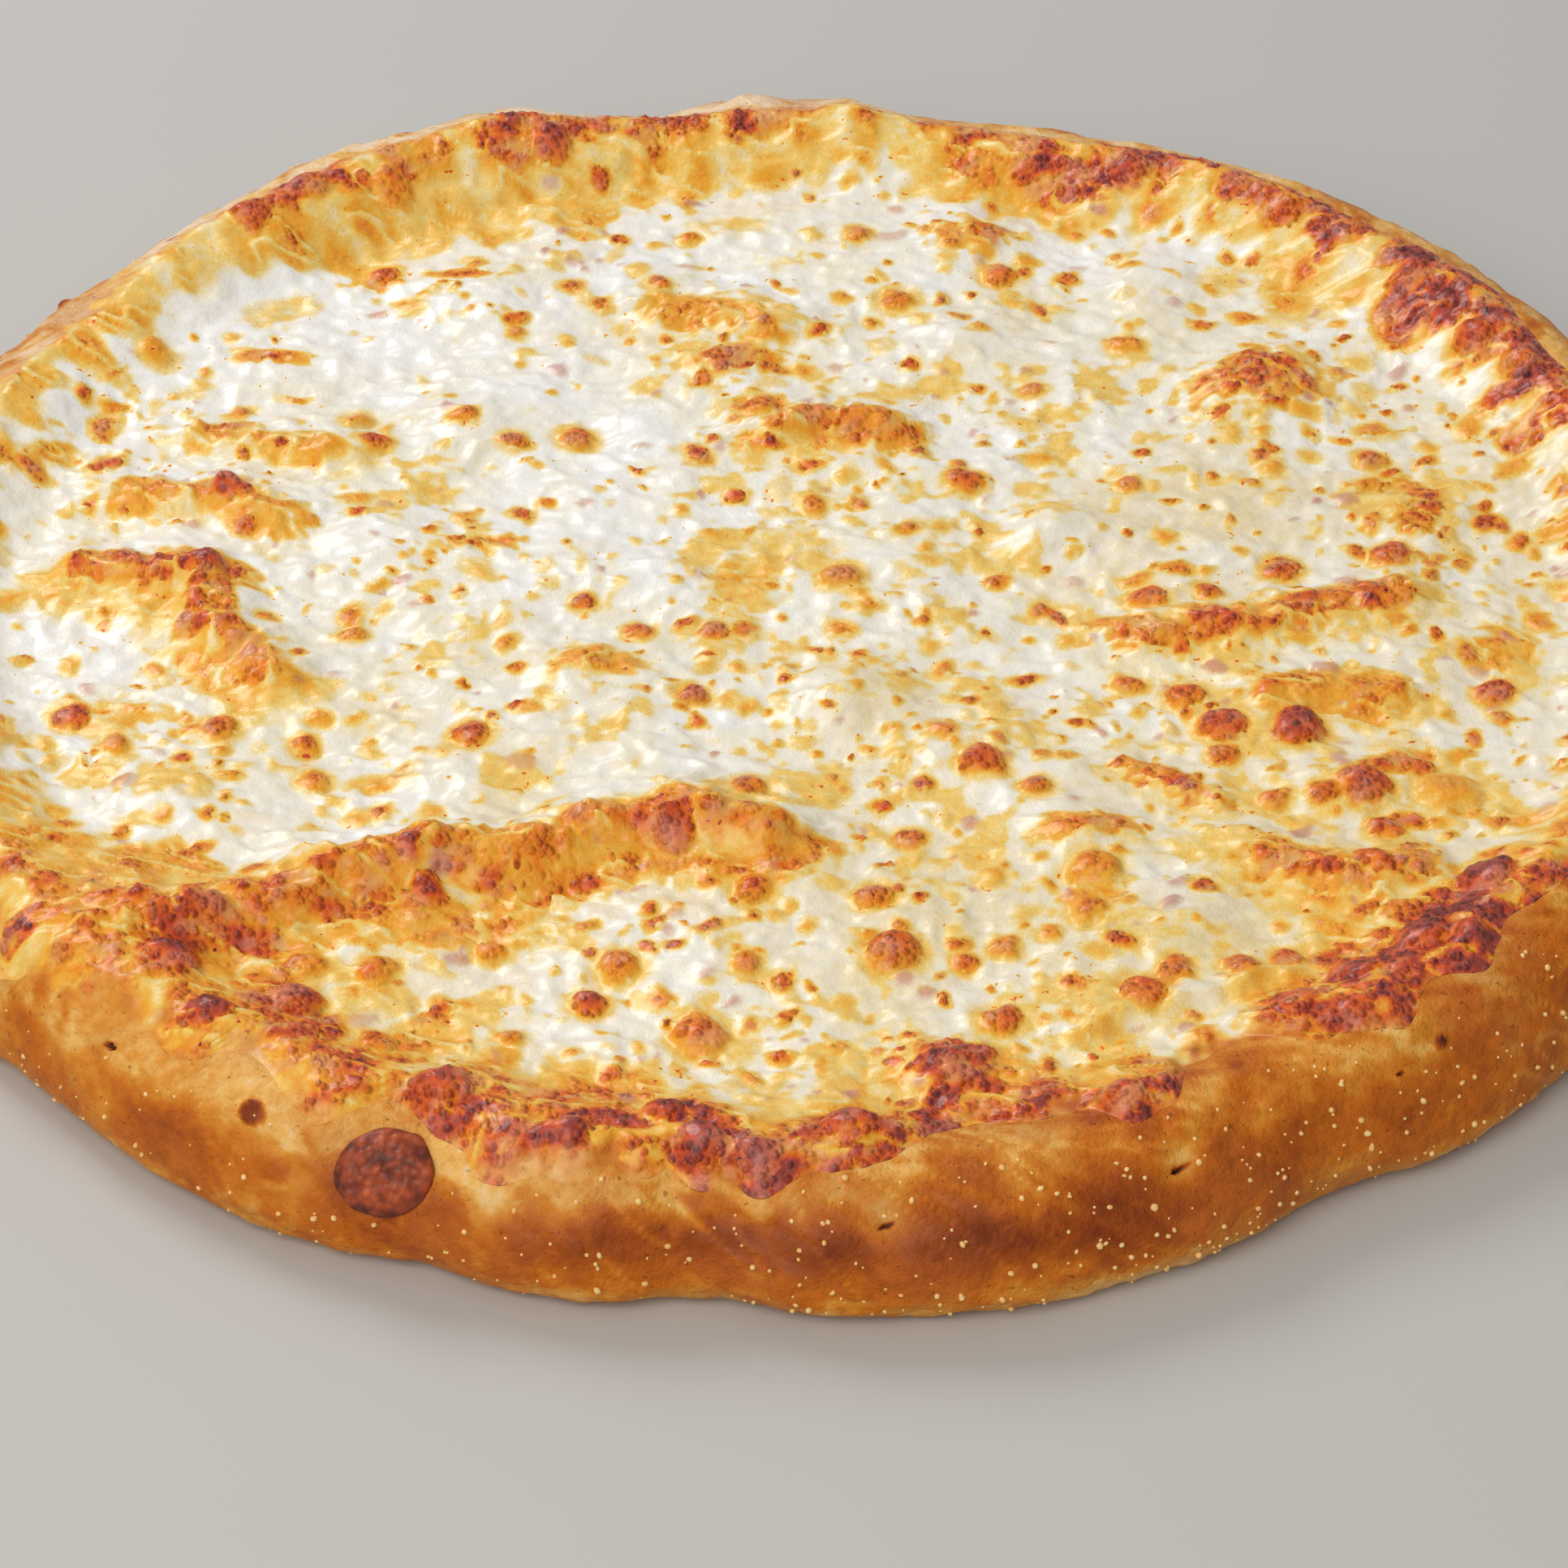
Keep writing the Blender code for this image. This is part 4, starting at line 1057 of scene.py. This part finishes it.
def make_drop():
    """Round burnt drop with a pebbled top, lying on the front wall."""
    n = DROP_SIDES
    angle, up = np.array([DROP_ANGLE]), np.array([DROP_UP])
    wall_r = float(section(angle, up)[0][0])
    turned = np.arange(n) * 2 * math.pi / n
    cos, sin = np.cos(turned), np.sin(turned)
    lobes = np.array([noise.noise(Vector((2 * c, 2 * s, 4))) for c, s in zip(cos, sin)])
    reach = DROP_RADIUS * (1 + 0.05 * lobes)
    reach += 0.3 * smooth_noise(DROP_RADIUS * cos, DROP_RADIUS * sin, 2.4, 96)

    def ring(share, lift):
        u, v = share * reach * cos, share * reach * sin
        return rim_point(DROP_ANGLE + np.degrees(u / wall_r), DROP_UP + v / WALL_LENGTH, lift)

    verts, toast, faces = [], [], []
    for k in range(DROP_RINGS):
        share = (k + 1) / DROP_RINGS
        lift, tone = drop_relief(share * reach * cos, share * reach * sin, share)
        verts.append(ring(share, lift))
        toast.append(tone)
    verts += [ring(1.0, 0.0), ring(0.5, DROP_SEAT)]
    last = (len(verts) - 1) * n
    for a in range(0, last, n):
        faces += zip_rings((a, n), (a + n, n))
    faces += fan(last + n, 0, n) + fan(last + n + 1, last, n, up=False)
    tip, foot = (rim_point(angle, up, np.array([lift])) for lift in (GAP + DROP_RISE, DROP_SEAT))
    points = np.concatenate(verts + [tip, foot])
    toast = np.concatenate(toast + [np.full(2 * n + 2, DROP_TOAST)])
    return make_piece("burnt_cheese_drop", points, faces, burnt_material(), {"toast": toast})


def grain_density(deg, share):
    """How thickly the cornmeal lies at a place on the wall."""
    thick = GRAIN_THINNEST
    for angle, width, more in GRAIN_PLACES:
        thick += more * math.exp(-((turn(deg, angle) / width) ** 2))
    return thick * (0.4 + 0.6 * math.exp(-(((share - 0.25) / 0.34) ** 2)))


def make_grains():
    """Cornmeal grains pressed into the crust, thickest along the front right and the foot."""
    rng = np.random.default_rng(SEED + 1)
    ball = bmesh.new()
    bmesh.ops.create_icosphere(ball, subdivisions=1, radius=1.0)
    form = np.array([v.co[:] for v in ball.verts])
    form_faces = [tuple(v.index for v in f.verts) for f in ball.faces]
    ball.free()
    verts, faces, made = [], [], 0
    while made < GRAINS:
        deg = rng.uniform(-180, 180)
        share = rng.uniform(-0.6, 1.0)
        a, up = np.array([deg]), np.array([share])
        if rng.random() > grain_density(deg, share):
            continue
        if share > float(share_at(a, cheese_edge(a))[0]) - CLEAR_EDGE:
            continue
        if abs(turn(deg, DROP_ANGLE)) < CLEAR_ANGLE and abs(share - DROP_UP) < CLEAR_UP:
            continue
        size = GRAIN_LEAST + GRAIN_RANGE * rng.random() ** 2
        centre = rim_point(a, up, dough_relief(a, up, np.array([1.2])) + 0.05 * size)[0]
        stretch = rng.uniform(0.7, 1.25, 3) * size
        spin = Vector(rng.normal(size=3)).normalized()
        turned = np.array(Vector((0, 0, 1)).rotation_difference(spin).to_matrix())
        start = made * len(form)
        verts.append((form * stretch) @ turned.T + centre)
        faces += [tuple(start + k for k in f) for f in form_faces]
        made += 1
    return make_piece("cornmeal_grains", np.concatenate(verts), faces, grain_material())


def make_floor():
    mesh = bpy.data.meshes.new("floor")
    corners = [(x * FLOOR_REACH, y * FLOOR_REACH, 0) for x, y in ((-1, -1), (1, -1), (1, 1), (-1, 1))]
    mesh.from_pydata(corners, [], [(0, 1, 2, 3)])
    material, _, shader = new_material("floor")
    shader.inputs["Base Color"].default_value = linear(*FLOOR_COLOUR)
    shader.inputs["Roughness"].default_value = 0.7
    mesh.materials.append(material)
    floor = add_object("floor", mesh)
    floor.location.z = -FLOOR_DROP


def make_lights():
    """Soft surrounding light, a key lamp behind and a fill lamp in front, both aimed at the pizza."""
    world = bpy.data.worlds.new("studio")
    world.use_nodes = True
    background = world.node_tree.nodes["Background"]
    background.inputs["Color"].default_value = WORLD_COLOUR
    background.inputs["Strength"].default_value = WORLD_STRENGTH
    bpy.context.scene.world = world
    for name, place, size, power, colour in LAMPS:
        data = bpy.data.lights.new(name, "AREA")
        data.shape = "DISK"
        data.size = size
        data.energy = power
        data.color = colour
        aim_from(add_object(name, data), Vector(place), Vector())


def make_camera():
    data = bpy.data.cameras.new("camera")
    data.lens = CAMERA_LENS
    data.sensor_width = SENSOR
    data.clip_end = CAMERA_RANGE
    camera = add_object("camera", data)
    aim_from(camera, Vector(CAMERA_PLACE) * MM, Vector(CAMERA_AIM) * MM)
    camera.rotation_euler.rotate_axis("Z", math.radians(CAMERA_ROLL))
    bpy.context.scene.camera = camera


def set_view():
    view = bpy.context.scene.view_settings
    view.view_transform = "Standard"
    view.look = "None"
    view.exposure = 0.0
    view.gamma = 1.0


def main():
    make_floor()
    make_lights()
    make_camera()
    set_view()
    for piece, replaced, slot in (
        (make_crust(), "crust", "crust"),
        (make_cheese(), "cheese", "cheese"),
        (make_drop(), "burnt_drop", "burnt_cheese"),
        (make_grains(), None, "crust"),
    ):
        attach(piece, "root")
        if replaced:
            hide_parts(replaced)


main()
